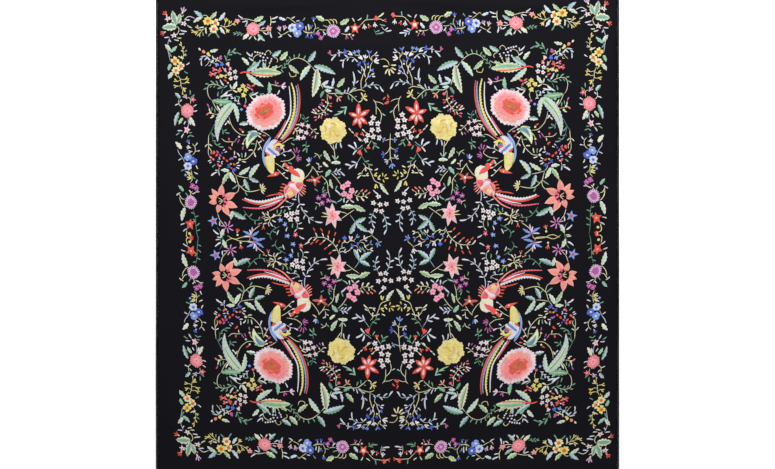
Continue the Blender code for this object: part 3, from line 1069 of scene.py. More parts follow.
# %% The corner of the border
# Each entry of a chart names what is laid and its blend or kind, then gives its rows. Columns, in squares:
# stems and veins: width, then points (across, down) on the way
# sprigs, with the blends of leaflets and stem: leaflets, their length, then points on the stem
# leaves: base across, base down, tip across, tip down, width, bend (without a width, one thin stroke)
# strokes: base across, base down, tip across, tip down, width
# fans: across, down, turn (degrees from upright), size, strokes, spread (degrees)
# tulips: across, down, turn (degrees from upright), size
# blossoms: across, down, radius, turn (degrees, where it is set). buds: across, down, radius
CORNER = (
    ("stems", "stem_cream", (0.9, (177, 26), (179, 29), (178, 33), (175, 36)),
     (0.9, (180, 24), (180.5, 19), (179.5, 14))),
    ("stems", "stem_white", (1.1, (184, 20), (189, 16.5), (195, 18.5))),
    ("stems", "olive", (0.9, (180, 14.5), (182, 16.5), (184, 15))),
    ("leaves", "mint_cream", (176.4, 25.2, 172.4, 10.8, 6.6, -0.02), (176.6, 27.4, 162.2, 27.8, 8),
     (177, 23.6, 180.2, 13.6, 5.2)),
    ("leaves", "green_cream", (187, 25, 192, 28)),
    ("leaves", "white_leaf", (180, 30, 187, 31.5), (179, 34, 184.5, 33.5), (164, 37.5, 169, 37),
     (169, 39, 171, 42), (185, 19.5, 190, 20)),
    ("leaves", "lime_leaf", (177, 38, 181.5, 38), (174, 39.5, 179, 40.5)),
    ("tulips", "scarlet", (165.5, 14, -45, 5), (163.5, 33, -120, 5)),
    ("tulips", "lilac", (183, 11, 15, 6)),
    ("blossoms", "white_star", (168, 18.5, 3.3), (184, 23.5, 3.3), (174, 35.5, 3.3)),
)
print("border corner:", count_rows(CORNER), "rows")

# %% The top run of the border
TOP_RUN = (
    ("stems", "stem_cream", (0.9, (203, 15.5), (206, 15.5), (209, 18)),
     (0.9, (259, 30), (263, 31), (267, 30.5)), (1, (270, 27), (271, 22), (270.5, 16)),
     (0.9, (341, 33.5), (346, 34.5), (352, 34)),
     (0.9, (359.5, 26), (363, 22.5), (366, 20), (372, 19.5), (376.5, 19)),
     (0.9, (283, 34.5), (286, 33), (289, 31)), (0.9, (240, 19.5), (246, 19), (255, 21)),
     (0.9, (278, 32), (281, 35), (283, 34.5))),
    ("stems", "olive", (0.9, (286, 19.5), (288, 17.5), (293, 21), (297, 24)),
     (0.9, (220, 25), (224, 26.8), (229, 26), (232.5, 24.4)),
     (0.8, (224, 26.4), (225, 24), (225.4, 22.4)), (0.8, (228, 26.2), (229, 24.6)),
     (0.8, (223.6, 27), (225.6, 28.4), (226.4, 29.4)), (0.9, (207, 28), (200, 30.5), (194.5, 31.8)),
     (0.8, (201, 30), (198.4, 28.6)), (0.8, (203, 29.4), (200, 33.6)),
     (1, (303, 30.5), (307, 32.5), (313, 32.5)), (0.9, (313, 33), (315.5, 27), (314, 22)),
     (1.2, (324, 20), (328, 20.5), (331, 25)), (1.2, (329, 19.5), (332.5, 20.5), (334, 24)),
     (1.2, (333, 19), (336, 20.5), (337, 24)), (0.9, (319, 29), (322, 30), (326, 30))),
    ("sprigs", ("navy", "olive"), (4, 3.4, (303, 31), (307, 33), (313, 33))),
    ("sprigs", ("fern_leaf", "stem_fern"), (5, 3.2, (244, 33.5), (240, 34), (236, 33.5))),
    ("leaves", "teal_ice", (203, 18, 194, 11, 4.2), (245, 27, 247.5, 20.5)),
    ("leaves", "lime_white", (202, 17.5, 193.5, 22.5, 3.8), (262, 36, 258, 41, 2.6)),
    ("leaves", "ice_white", (219, 20.5, 225, 12.5, 3.8), (220, 27, 225, 34, 3.2),
     (279, 17.5, 286, 20, 3), (345, 32, 349, 26, 3.2)),
    ("leaves", "teal_white", (258, 25.7, 265.5, 20.7, 3.8), (258, 34, 265, 41, 3.4)),
    ("leaves", "green_cream", (210.6, 18.2, 216.6, 11.8, 3.8), (254, 21, 263.5, 16.2, 4.8),
     (324, 21, 316, 16.5, 4.8), (340, 24, 349, 19, 5.2)),
    ("leaves", "fern_leaf", (213, 32, 208, 36.5), (216, 32, 219.5, 38), (203, 32, 203.5, 36),
     (302.5, 21, 305, 17.5), (315, 28.5, 319, 27.5), (324.5, 33, 323.5, 37), (323, 25, 328, 27),
     (366.5, 20, 367.5, 14.5)),
    ("leaves", "cream_leaf", (249, 34, 243, 39.5, 4.2), (206, 27, 206.5, 34), (252, 36, 249, 39.5),
     (254, 36, 256.5, 40), (306, 31, 305.5, 26), (309, 31, 308, 24), (354.5, 22, 352, 18),
     (357.5, 20.5, 361.5, 18)),
    ("leaves", "white_leaf", (199, 27.5, 204, 27), (238, 15, 243, 18.5), (242, 22, 247, 20.5),
     (261, 29, 264.5, 27.5), (263, 32, 267, 34.5), (271, 19, 278, 16.5), (271, 22, 276, 21.5),
     (270, 31, 272, 38), (268.5, 31, 268, 35), (291, 18.5, 295, 16.5), (296, 21, 299.5, 20.5),
     (278, 37.5, 282, 35.5), (288, 34, 291.5, 37), (319, 30, 317, 33), (323, 31, 326, 35)),
    ("tulips", "gold", (225.8, 20.6, 8, 4.2), (229.6, 22.6, 22, 3.8), (233.6, 24, 80, 3.8),
     (227.4, 30.4, 140, 4)),
    ("tulips", "straw", (197.4, 27.6, -40, 3.8), (193.4, 31.6, -85, 3.8), (196.4, 33, -120, 3.6),
     (199.4, 34.6, -155, 3.8)),
    ("tulips", "lilac", (279.5, 29, -20, 4.5), (284.5, 28, 15, 4.5)),
    ("tulips", "white", (364.5, 26.5, 170, 4.5), (375, 24.5, 170, 4.5)),
    ("tulips", "scarlet", (369.2, 25.8, 150, 3.8)),
    ("tulips", "magenta", (346.8, 37, 165, 3.8), (351.6, 37.8, 150, 3.2)),
    ("tulips", "navy", (311, 27, 5, 3.6), (307.5, 36, 190, 3.6), (311.5, 36.5, 170, 3.6),
     (313.5, 19.5, 0, 4)),
    ("blossoms", "yellow_rosette", (207.8, 21, 4.6)),
    ("blossoms", "cream_rosette", (215.5, 23, 4.1), (213.8, 29.2, 4.3)),
    ("blossoms", "salmon_star", (237.3, 21, 3), (268.5, 28.6, 3.4)),
    ("blossoms", "ice_daisy", (292.2, 27.6, 4.3)),
    ("blossoms", "royal_daisy", (300, 26, 4.4)),
    ("blossoms", "sky_daisy", (297, 33.5, 4.2)),
    ("blossoms", "magenta_cross", (318, 33.5, 2.3), (321, 38, 2.4)),
    ("blossoms", "red_ringed", (354.9, 28.3, 5.4, 0)),
    ("blossoms", "red_cross", (376.1, 18.4, 2.4)),
    ("buds", "cream", (349.5, 34.5, 1), (353.2, 35.4, 0.9)),
)
print("top run:", count_rows(TOP_RUN), "rows")

# %% The middle of the top and bottom border
# drawn once, across the upper middle line
TOP_MIDDLE = (
    ("stems", "stem_cream", (0.9, (376.5, 19), (380.5, 19.2), (382.8, 20.4))),
    ("stems", "stem_fern", (0.8, (373.8, 29.5), (375.4, 32.6), (376.6, 35.4))),
    ("stems", "stem_mist", (0.8, (381.2, 26.6), (383.4, 29), (385.6, 31))),
    ("stems", "stem_ice", (0.8, (412, 28.8), (409.4, 31.2), (404, 33))),
    ("leaves", "lime_leaf", (377.6, 17.4, 383.8, 12.8)),
    ("leaves", "fern_leaf", (379.5, 24.2, 385.5, 25.6), (375.3, 31.8, 379.7, 30.2),
     (376.4, 33.8, 384, 32.2)),
    ("leaves", "white_leaf", (384.8, 30, 387.8, 27.6), (385.6, 31.2, 391.6, 30.2)),
    ("leaves", "ice_white", (410.5, 30.2, 406.8, 28.6), (409, 31.8, 403.4, 30.6),
     (406, 33.2, 399.2, 33.2), (407, 33, 404.8, 36.6), (409.8, 31.8, 408.6, 34.8)),
    ("tulips", "scarlet", (384.4, 20.4, 85, 3.8)),
)
# drawn below on the left, and turned over on the right
BOTTOM_MIDDLE = (
    ("stems", "stem_cream", (0.9, (376.5, 19), (379, 19.6))),
    ("stems", "stem_mist", (0.8, (373.1, 25.5), (373, 30), (374, 34.4))),
    ("stems", "stem_fern", (0.7, (359.2, 32.4), (363, 35), (365.4, 37.4))),
    ("leaves", "white_leaf", (374, 31.6, 382, 33), (373.4, 29.4, 377.8, 29.8)),
    ("leaves", "fern_leaf", (361.4, 33.8, 369.6, 34.9), (361, 33.4, 361, 37.2), (360.4, 32.8, 365, 32.2)),
    ("tulips", "scarlet", (380.4, 19.8, 85, 3.8)),
)
print("middle of the border:", count_rows(TOP_MIDDLE, BOTTOM_MIDDLE), "rows")

# %% The side run of the border
SIDE_RUN = (
    ("stems", "stem_mist", (0.9, (170, 37), (167.5, 46), (169, 55), (170.5, 62)),
     (0.9, (188, 118), (188.5, 123), (188, 128)),
     (0.9, (177.5, 149), (179, 153), (182, 157), (185, 163))),
    ("stems", "olive", (1, (191, 170), (192, 176), (192, 180), (190, 183)),
     (0.9, (178, 75), (180.5, 80), (181, 85), (182.5, 90)),
     (0.8, (180, 79), (183.6, 79.6), (185.4, 79.2)), (0.8, (180.6, 83), (184, 83.6), (186, 82.6)),
     (0.8, (180.4, 80), (177.6, 81.6)), (0.8, (181, 85.4), (178, 86.6))),
    ("stems", "stem_cream", (0.9, (179, 99), (179, 104), (182, 107)),
     (0.9, (187, 97), (190.5, 99), (190.5, 104)),
     (0.9, (192, 143.5), (195, 147), (195, 152), (192, 155.5)),
     (0.9, (190, 196), (191, 193), (192.5, 191)), (0.9, (179, 194), (182, 198.5), (185, 199.5)),
     (0.9, (179.5, 197), (181, 202), (184, 206), (187, 207)),
     (0.9, (187, 230), (186.5, 236), (189, 238.5))),
    ("stems", "stem_fern", (0.9, (193, 210), (195, 216), (196, 226), (197, 234), (198.5, 240))),
    ("sprigs", ("straw_leaf", "olive"), (5, 3.4, (182, 61), (183.5, 55), (183, 50), (181.5, 45))),
    ("leaves", "lime_white", (170, 51, 165, 44.5, 4), (173, 72.5, 168.5, 79, 4.2),
     (185, 207.5, 182, 221, 4.8)),
    ("leaves", "mint_leaf", (170, 52, 177, 46, 3.6), (171, 64, 168.5, 70.5, 3.6),
     (183.5, 191.5, 178.5, 185.5, 3.2)),
    ("leaves", "fern_leaf", (169, 52, 172, 57), (184, 52, 187, 50), (184, 56, 187, 55),
     (184, 71, 188, 73.5), (190, 95, 190, 90), (191, 97, 194.5, 94.5), (180, 133, 176, 135.5),
     (188.5, 132.5, 192, 132.5), (190, 135, 194, 136.5), (191, 135, 187.5, 137.5),
     (186, 169.5, 181, 171), (192.5, 176, 195.5, 179), (185.5, 192.5, 188.5, 196),
     (194, 214, 191, 212.5), (195, 217, 198.5, 215.5), (195.5, 222, 193, 219), (196, 226, 199.5, 223),
     (196.5, 231, 200, 229.5)),
    ("leaves", "teal_white", (180, 98.5, 175, 93, 3.6), (179, 112, 175, 126, 4)),
    ("leaves", "green_cream", (183, 118, 179, 124.5, 3.2)),
    ("leaves", "cream_leaf", (190, 117, 195, 126, 4.2), (181.5, 149, 175.5, 142, 4.2),
     (178, 56, 184, 58.5), (183, 88, 185.5, 92), (196, 165, 198, 169), (180.5, 192.5, 176.5, 195.5),
     (191, 193, 189, 190), (192, 194, 195.5, 192.5)),
    ("leaves", "white_leaf", (186, 65, 189.5, 62.5), (179.5, 102, 181.8, 99.5), (179, 104, 175, 105.5),
     (193, 106.5, 196.5, 104.5), (193, 111.5, 197.3, 110.5), (186, 121, 184, 124.5),
     (189, 120, 191, 125), (182.5, 131, 177.5, 131), (184, 133.5, 181.5, 138), (195, 146, 197.5, 142.5),
     (182, 158.5, 178.5, 160.5), (185.5, 171, 188.5, 173), (194, 172, 198, 174),
     (197.5, 179.5, 196, 183.5), (185, 223.5, 180.5, 225), (187.5, 228.5, 183, 231.5)),
    ("fans", "butter", (191.5, 174.5, -70, 5, 2, 30), (192, 178.5, -75, 5.4, 3, 60)),
    ("tulips", "gold", (186.4, 78.6, 60, 3.8), (187, 82, 70, 3.8), (176, 81, -70, 3.8),
     (176, 86.4, -100, 3.8), (176.4, 76, -40, 3.4), (184.4, 88.6, 120, 3.6), (182.8, 92.2, 180, 3.4)),
    ("tulips", "lilac", (185.5, 97, -40, 4.5), (197, 191.5, 60, 3.6)),
    ("tulips", "navy", (188.5, 142, -30, 4)),
    ("tulips", "white", (189, 147.5, -80, 4), (190.5, 151.8, -100, 3.6), (197.3, 151, 80, 3.4)),
    ("tulips", "scarlet", (191, 239.5, 10, 4)),
    ("blossoms", "cream_rosette", (181, 66, 3.9), (176, 70.5, 4)),
    ("blossoms", "yellow_rosette", (175, 61, 4.4)),
    ("blossoms", "rose_small", (192.8, 99.4, 3.2)),
    ("blossoms", "pink_star", (187, 130, 3.7)),
    ("blossoms", "sky_daisy", (188.1, 156.8, 4.1)),
    ("blossoms", "royal_daisy", (193.3, 161.4, 4.1)),
    ("blossoms", "ice_daisy", (188.1, 166, 4)),
    ("blossoms", "magenta_cross", (192.5, 186, 2.8), (196, 188, 2.6)),
    ("blossoms", "red_star", (190, 224, 5.6, 0)),
    ("buds", "yellow", (189.5, 233.5, 1.3)),
    ("buds", "sky", (185.5, 175, 1.2)),
)
print("side run:", count_rows(SIDE_RUN), "rows")

# %% [markdown]
# ## The chart of the field
# The field inside the border is a garden of sprays. Its big leaves are worked half in a pale shade and
# half in a dark one with a vein between, which is why a blend names both edges.

# %% The corner spray with its great curved leaf
CORNER_SPRAY = (
    ("stems", "stem_ice", (0.8, (200, 57.4), (203.4, 56), (207, 56.6), (210.4, 60), (212.6, 61.4)),
     (0.8, (203.4, 56.4), (201.8, 59), (201.6, 62))),
    ("stems", "stem_cream",
     (0.9, (223.4, 88), (217, 84.8), (211.6, 84.4), (208.4, 86), (207.4, 91), (209, 97), (212, 100.4)),
     (0.9, (212, 100.4), (213.4, 103), (216, 108), (219, 111.8)),
     (0.8, (226, 92), (229.6, 90.6), (233, 89.8)),
     (0.8, (209.4, 108), (210.4, 112.4), (214, 114), (218, 114.5)),
     (0.7, (205.2, 66.4), (208, 63.4), (209, 61.6), (211.6, 61.4)),
     (0.7, (208.4, 65.8), (210.6, 65.4), (210.2, 63.6)), (0.7, (212.6, 63), (214.4, 63), (215.8, 64.4))),
    ("stems", "olive", (0.8, (212.6, 57), (216, 59.8), (219.4, 61.2), (221.4, 63)),
     (0.8, (222.2, 66.8), (223.8, 69.4)), (0.7, (215, 69.4), (218, 70.6)),
     (0.7, (211, 74), (214, 74), (218, 72))),
    ("stems", "stem_fern", (0.8, (226.8, 62), (226.6, 58.4), (229, 53.6), (233, 51.6), (237, 52.2)),
     (0.8, (223, 88.6), (221.8, 91.6), (221, 94))),
    ("leaves", "lime_vein", (212.4, 100.4, 232, 101.4, 6.4)),
    ("leaves", "lime_white", (209.8, 51.4, 218, 49.4, 3.4), (232.8, 89.2, 236.8, 81.4, 3.8)),
    ("leaves", "half_ice", (233.5, 103, 237.8, 122, 5, -0.06)),
    ("leaves", "mint_leaf", (222, 106, 219.5, 104, 3), (225, 101, 228, 97.5, 3)),
    ("strokes", "fern_leaf", (226.2, 61.4, 224.4, 55.2, 1.3), (227.4, 54.6, 229.8, 49.2, 1.7),
     (228.6, 55, 232.4, 54.2, 1.5), (231.4, 52.4, 235.6, 48.2, 1.8), (232.4, 52, 236.6, 53.2, 1.9),
     (236.4, 52, 241.6, 54.6, 1.5), (227, 60.2, 230.6, 59.2, 1.1), (209, 84.4, 205.2, 84, 1.6),
     (214.6, 84.4, 210.4, 80.8, 1.6), (218, 84.6, 215.8, 80.8, 1.6), (212, 85.4, 210, 88, 1.2),
     (215.6, 85.4, 213.6, 87.8, 1.2), (207.4, 87.8, 203.6, 89.8, 1.6), (222, 88, 217.4, 88.8, 1.7),
     (223.4, 88, 227.2, 85.2, 1.7), (218.6, 91.8, 217.8, 96.6, 1.5), (211.6, 111, 211.8, 106.8, 1.2),
     (215, 113, 214.2, 108.6, 1.3), (235.8, 96, 239.8, 97, 1.2), (239.8, 97, 238.6, 99.6, 1.2)),
    ("strokes", "ice_white", (201, 56.4, 206, 55.8, 1.3), (204.4, 60.2, 207.2, 57, 1.5),
     (201.4, 60.4, 201.8, 66, 1.3), (203, 57.6, 199.6, 60.2, 1.4), (207, 57, 210, 60.4, 1.3),
     (212.4, 55.6, 213.8, 59.4, 1.7), (210.6, 63, 213.6, 60, 2.3), (220, 79.4, 224, 85.8, 1.8),
     (230, 84.4, 232, 89, 1.7), (220, 97.4, 227.6, 92, 2.6), (222.8, 95.8, 232.2, 94.4, 1.9)),
    ("strokes", "white", (210, 118, 213, 117, 1.3)),
    ("strokes", "cream", (200.5, 50.6, 198.6, 48.2, 2), (216.6, 60, 214.4, 58.4, 1.1),
     (216.6, 60, 217.6, 57.2, 1.1), (216.6, 60, 219.2, 60.8, 1.1), (216.6, 60, 215.6, 61.8, 1.1),
     (233, 90, 237.4, 92.2, 1.6), (209.2, 107.8, 210.2, 111.6, 1.3), (217, 105.4, 220.2, 110.4, 1.8)),
    ("strokes", "coral", (204.8, 53.4, 202.4, 50.6, 3.4), (209.6, 112.8, 206.4, 115.2, 1.7)),
    ("strokes", "yellow", (206.4, 54, 208.8, 52.2, 1.8), (206.8, 54.2, 210.8, 55.8, 2),
     (206.8, 54, 209.6, 53.8, 1.6)),
    ("strokes", "magenta", (218.4, 58.6, 221.6, 55.8, 2.6), (218.6, 59, 222, 58.2, 2.4),
     (209, 107.6, 207, 103.8, 1.6)),
    ("strokes", "sky", (217, 63, 216.4, 67, 1.7), (217.2, 63, 218.8, 65.8, 1.7),
     (216.8, 63, 215.4, 65.2, 1.4)),
    ("strokes", "royal", (221.8, 62.2, 220.8, 66.2, 1.7), (222, 62, 223.8, 65.4, 1.8),
     (222, 62.2, 222.4, 66.4, 1.7)),
    ("strokes", "rose_mist", (229.4, 62.4, 226.2, 65, 2.3), (228.6, 62.2, 228.8, 66.6, 2.1)),
    ("strokes", "peach", (231, 66.8, 229.4, 70.4, 2.3), (229.4, 67, 231.6, 70, 2)),
    ("strokes", "lilac", (224.2, 68.6, 226.6, 72.2, 2.1), (225.6, 68, 225.2, 71.8, 2.1)),
    ("strokes", "rose", (215.2, 69.6, 212.2, 68, 1.9), (215.2, 69.8, 212.6, 71.2, 1.8),
     (213, 74, 216.6, 72.6, 2.2), (213.4, 74, 215.6, 75.6, 2)),
    ("strokes", "scarlet", (218, 70.8, 220.6, 67.8, 2), (218.6, 71.2, 221.8, 70.4, 2.1),
     (218.4, 71, 219.4, 73.4, 1.6), (212.2, 74.2, 209.4, 71.8, 1.9), (212, 74.2, 209, 75.2, 2),
     (211.8, 74.4, 211, 76.6, 1.8), (227.2, 82, 223.4, 79.8, 1.5)),
    ("strokes", "butter", (218.2, 75.6, 216.2, 78.4, 1.9), (219.4, 76.4, 218, 78.8, 1.7),
     (220, 74, 222.4, 77.6, 2.4), (222.4, 74.4, 220, 77.4, 2)),
    ("strokes", "gold", (224, 75.8, 227.4, 74.6, 1.9), (224.2, 76, 226.6, 78, 1.9)),
    ("blossoms", "white_small", (229.8, 73.6, 2.6), (235.2, 71.8, 2.4), (235.6, 77.5, 2.6),
     (230.8, 78.6, 2.4)),
    ("buds", "cream", (228, 83, 0.9), (210.5, 112.6, 1.2), (216.2, 69.8, 0.7), (212.6, 74, 0.7),
     (223.2, 75.8, 0.8)),
    ("buds", "yellow", (213, 116, 1.2)),
)
print("corner spray:", count_rows(CORNER_SPRAY), "rows")

# %% The grape spray and the big leaves above the chrysanthemum
GRAPE_SPRAY = (
    ("stems", "olive", (0.9, (253.6, 62.4), (253.1, 59.6), (254.6, 56.6), (257.6, 54.8), (260.3, 54.8)),
     (0.9, (265, 53.5), (268, 50.5), (271, 52.5), (270, 54.5)),
     (1, (266, 62), (265.5, 66), (267.5, 68.5), (270, 64)),
     (1, (289, 72), (291, 76.5), (295.5, 76), (296, 73)),
     (0.9, (273.4, 57.4), (276.4, 58.2), (277.7, 60.6), (276.6, 62.6))),
    ("stems", "stem_cream", (0.9, (288, 65), (290, 61), (297, 58), (304, 60), (309, 64), (312, 67)),
     (0.8, (270.6, 84.4), (274, 85), (277.6, 86), (281.4, 86)),
     (0.9, (245.5, 98), (246, 101), (245, 104)), (0.9, (276, 68), (279, 67), (282, 65))),
    ("veins", "scarlet",
     (1.5, (240, 73.4), (244, 72.1), (248, 72.6), (255, 74.1), (265, 75.2), (275.6, 75.2))),
    ("sprigs", ("fern_leaf", "stem_fern"), (5, 3.2, (281, 70), (284, 67), (287, 62))),
    ("sprigs", ("white_leaf", "stem_mist"), (5, 3, (241, 105), (237, 101), (233, 98))),
    ("leaves", "green_cream", (251, 73, 281.4, 73, 10.2, -0.02), (280, 60, 287.5, 51.5, 5.2),
     (270, 71, 277.2, 65.6, 4.4), (289, 65, 299, 73.5, 4.4)),
    ("leaves", "teal_white", (272, 56, 281, 50.5, 4.8), (308, 62, 315.5, 51, 5.2),
     (246.8, 71, 260, 61.6, 5.6), (263.5, 69, 263, 62, 3)),
    ("leaves", "half_ice", (246.6, 73.6, 263.6, 86.6, 5.6), (310.4, 65.6, 300.2, 80.4, 5.6)),
    ("leaves", "lime_white", (248.7, 65.2, 241.8, 57.8, 3.8)),
    ("leaves", "mint_leaf", (269, 94, 269, 82, 4.2), (256, 62, 252, 66, 2.6)),
    ("leaves", "white_leaf", (246.4, 51.9, 251.4, 56.4), (252.5, 53, 252, 57),
     (248.9, 57.5, 253.2, 60.8), (277, 95, 279.5, 90), (250.2, 95.4, 258.2, 92.4)),
    ("leaves", "fern_leaf", (248.7, 94.6, 253.8, 91.8), (259.4, 94.1, 264, 93.6), (291, 61, 289, 56.5),
     (294, 59, 294, 54.5), (298, 58, 299.5, 53.5), (303, 59.5, 305.5, 55.5), (281, 69, 283.5, 72.5)),
    ("strokes", "magenta", (275.8, 85, 275.2, 80.8, 1.6), (276, 84.8, 278.4, 82.4, 1.5)),
    ("strokes", "pink_lilac", (281.4, 86, 285.2, 82.4, 1.9), (281.6, 86.2, 286.4, 86.6, 1.9),
     (281.4, 86.4, 284.4, 89, 1.7)),
    ("strokes", "rose", (250.6, 86.8, 246.8, 84.4, 1.9), (251.4, 86.6, 254.8, 84.4, 2.1),
     (250.8, 88, 253, 90.6, 2)),
    ("strokes", "cream", (246.6, 86.4, 250.4, 88.6, 1.1), (249.6, 95, 254.6, 100, 1.4),
     (255.4, 94.8, 260, 97.3, 1.3)),
    ("blossoms", "yellow_star", (243, 86, 2.8), (239.5, 90, 2.8), (245.7, 90, 2.6), (243.5, 95, 2.8)),
    ("buds", "white", (255, 52, 0.8), (257.5, 52.5, 0.9), (260, 53, 0.8), (262.5, 53.5, 0.9),
     (265, 54.5, 0.8), (260.5, 56, 0.9), (263.5, 57.5, 0.9), (267.5, 58, 0.8), (263, 60.5, 0.9),
     (260, 61, 0.8), (265.6, 60.5, 0.8), (271.5, 59, 0.8), (271, 61.2, 0.8), (269.8, 63, 0.8)),
    ("buds", "rose", (245, 106, 1.4)),
    ("buds", "sky", (241.5, 109.5, 1.3)),
)
print("grape spray:", count_rows(GRAPE_SPRAY), "rows")

# %% The trefoil of leaves beside the birds' tails
TREFOIL = (
    ("stems", "stem_cream", (1.1, (312, 67), (316, 72), (320, 82), (323, 89)),
     (1, (324, 90), (330, 93.5), (340, 93), (348, 93.5), (353, 97), (358.5, 102.5)),
     (0.9, (350, 92), (353, 90), (355, 88)), (0.9, (354, 86), (354, 79), (353, 72)),
     (0.9, (358.5, 102), (361, 101), (363, 99)), (0.8, (327, 94), (327.6, 100.6), (328, 103.6),
      (326, 108), (323, 112.4), (319.6, 113.8), (315.6, 114)), (0.7, (326, 108.4), (328.4, 109.8)),
     (0.7, (323.6, 106), (326, 108)), (0.7, (327.2, 94.4), (329.4, 96.8)),
     (0.7, (322.6, 112), (325.4, 113.2)), (0.8, (363, 99), (361, 101.4), (358.6, 102.6)),
     (0.8, (334.6, 94.2), (337.8, 97))),
    ("stems", "olive", (1.1, (352, 91.5), (356, 90.4), (361, 89.8), (365.4, 91.8))),
    ("stems", "stem_fern", (0.9, (334, 115.4), (340, 112.4), (344, 110), (346.6, 107))),
    ("stems", "stem_mist", (0.8, (349, 93), (352.6, 89), (354.4, 86.6))),
    ("veins", "umber", (1, (316.2, 71), (315.8, 80), (313.6, 92))),
    ("leaves", "pale_edged", (316.8, 69, 312.6, 97, 8.4, -0.06)),
    ("leaves", "green_cream", (337, 87, 344.5, 78, 4.6)),
    ("leaves", "teal_white", (314, 66, 335.4, 74.2, 6.6, -0.05)),
    ("leaves", "ice_white", (322, 85, 328.5, 80.5, 3.6), (332, 87, 333.5, 78, 2.8),
     (325, 90, 331.5, 91, 3)),
    ("leaves", "mint_white", (323, 86, 334, 88, 3)),
    ("leaves", "fern_leaf", (324, 91, 320.5, 98, 3.2), (348, 95, 349.6, 100), (352.4, 97, 352.2, 102),
     (354.4, 96.8, 357, 96.2)),
    ("leaves", "lime_vein", (335, 89, 343.4, 94.6, 4)),
    ("strokes", "mint_leaf", (333.8, 115.4, 343.6, 110.6, 1.9), (337.4, 111.6, 343, 111, 1.3),
     (340.4, 107.4, 347, 106.8, 1.6), (346.6, 107.4, 344.8, 114.6, 1.8), (349, 92.8, 352.6, 91, 1.5)),
    ("strokes", "mist_white", (354, 86.4, 352.6, 81.4, 1.3), (354.8, 84, 352.8, 71.4, 1.5),
     (355.4, 83.2, 358.4, 80.6, 1.2), (353, 89.4, 356.2, 88, 1.2), (347, 92.6, 348.8, 87.4, 1.3),
     (344, 93, 345.2, 89.8, 1.2)),
    ("strokes", "peach", (338.4, 96.6, 337.2, 102, 1.4), (338.6, 96.8, 340.8, 101.2, 1.3),
     (338.4, 96.8, 342, 96.6, 1.3)),
    ("strokes", "butter", (363, 97.4, 361, 92.6, 1.5), (363.2, 97, 365.6, 93.4, 1.2),
     (363.2, 97.2, 367.2, 95.8, 1.3), (363, 97.4, 367.5, 100.6, 1.8), (363, 97.6, 361.4, 99, 1.3)),
    ("strokes", "scarlet", (324.9, 100.4, 321.2, 100.1, 1.6), (329.4, 103.8, 332.1, 103.2, 1.4),
     (328.8, 104.9, 331.9, 106.6, 1.6), (317.6, 110.4, 314.9, 108.4, 1.5),
     (321.7, 115.2, 321.5, 118.9, 1.4)),
    ("strokes", "rose", (317.1, 117.2, 313.7, 117.3, 1.7), (317.1, 119, 314.9, 120.9, 1.5)),
    ("strokes", "orchid", (322.6, 105.6, 321.4, 101.9, 1.3), (322.4, 105.8, 319.3, 104.2, 1.3),
     (325.4, 113.2, 325.5, 116.2, 1.3), (325.9, 113.2, 328.6, 114.7, 1.3)),
    ("strokes", "snow", (320.9, 109.1, 318.2, 106.1, 1.3), (315.3, 111.8, 312.6, 109.3, 1.3),
     (314.9, 113.6, 311.3, 111.9, 1.3), (329, 110.4, 332.2, 111.3, 1.5),
     (324.9, 111.3, 325.6, 113.4, 1.1)),
    ("strokes", "cream", (318, 118.7, 319.4, 115, 1.2), (321, 109.2, 323.8, 111.2, 1)),
    ("buds", "rose", (330.3, 97.6, 1.5)),
    ("buds", "cream", (326, 102, 0.8), (328, 103.4, 1), (323.6, 106, 0.9), (318.5, 111, 0.8),
     (315.8, 113.2, 1), (328.2, 109.8, 1), (322.3, 114.6, 0.8)),
)
print("trefoil:", count_rows(TREFOIL), "rows")

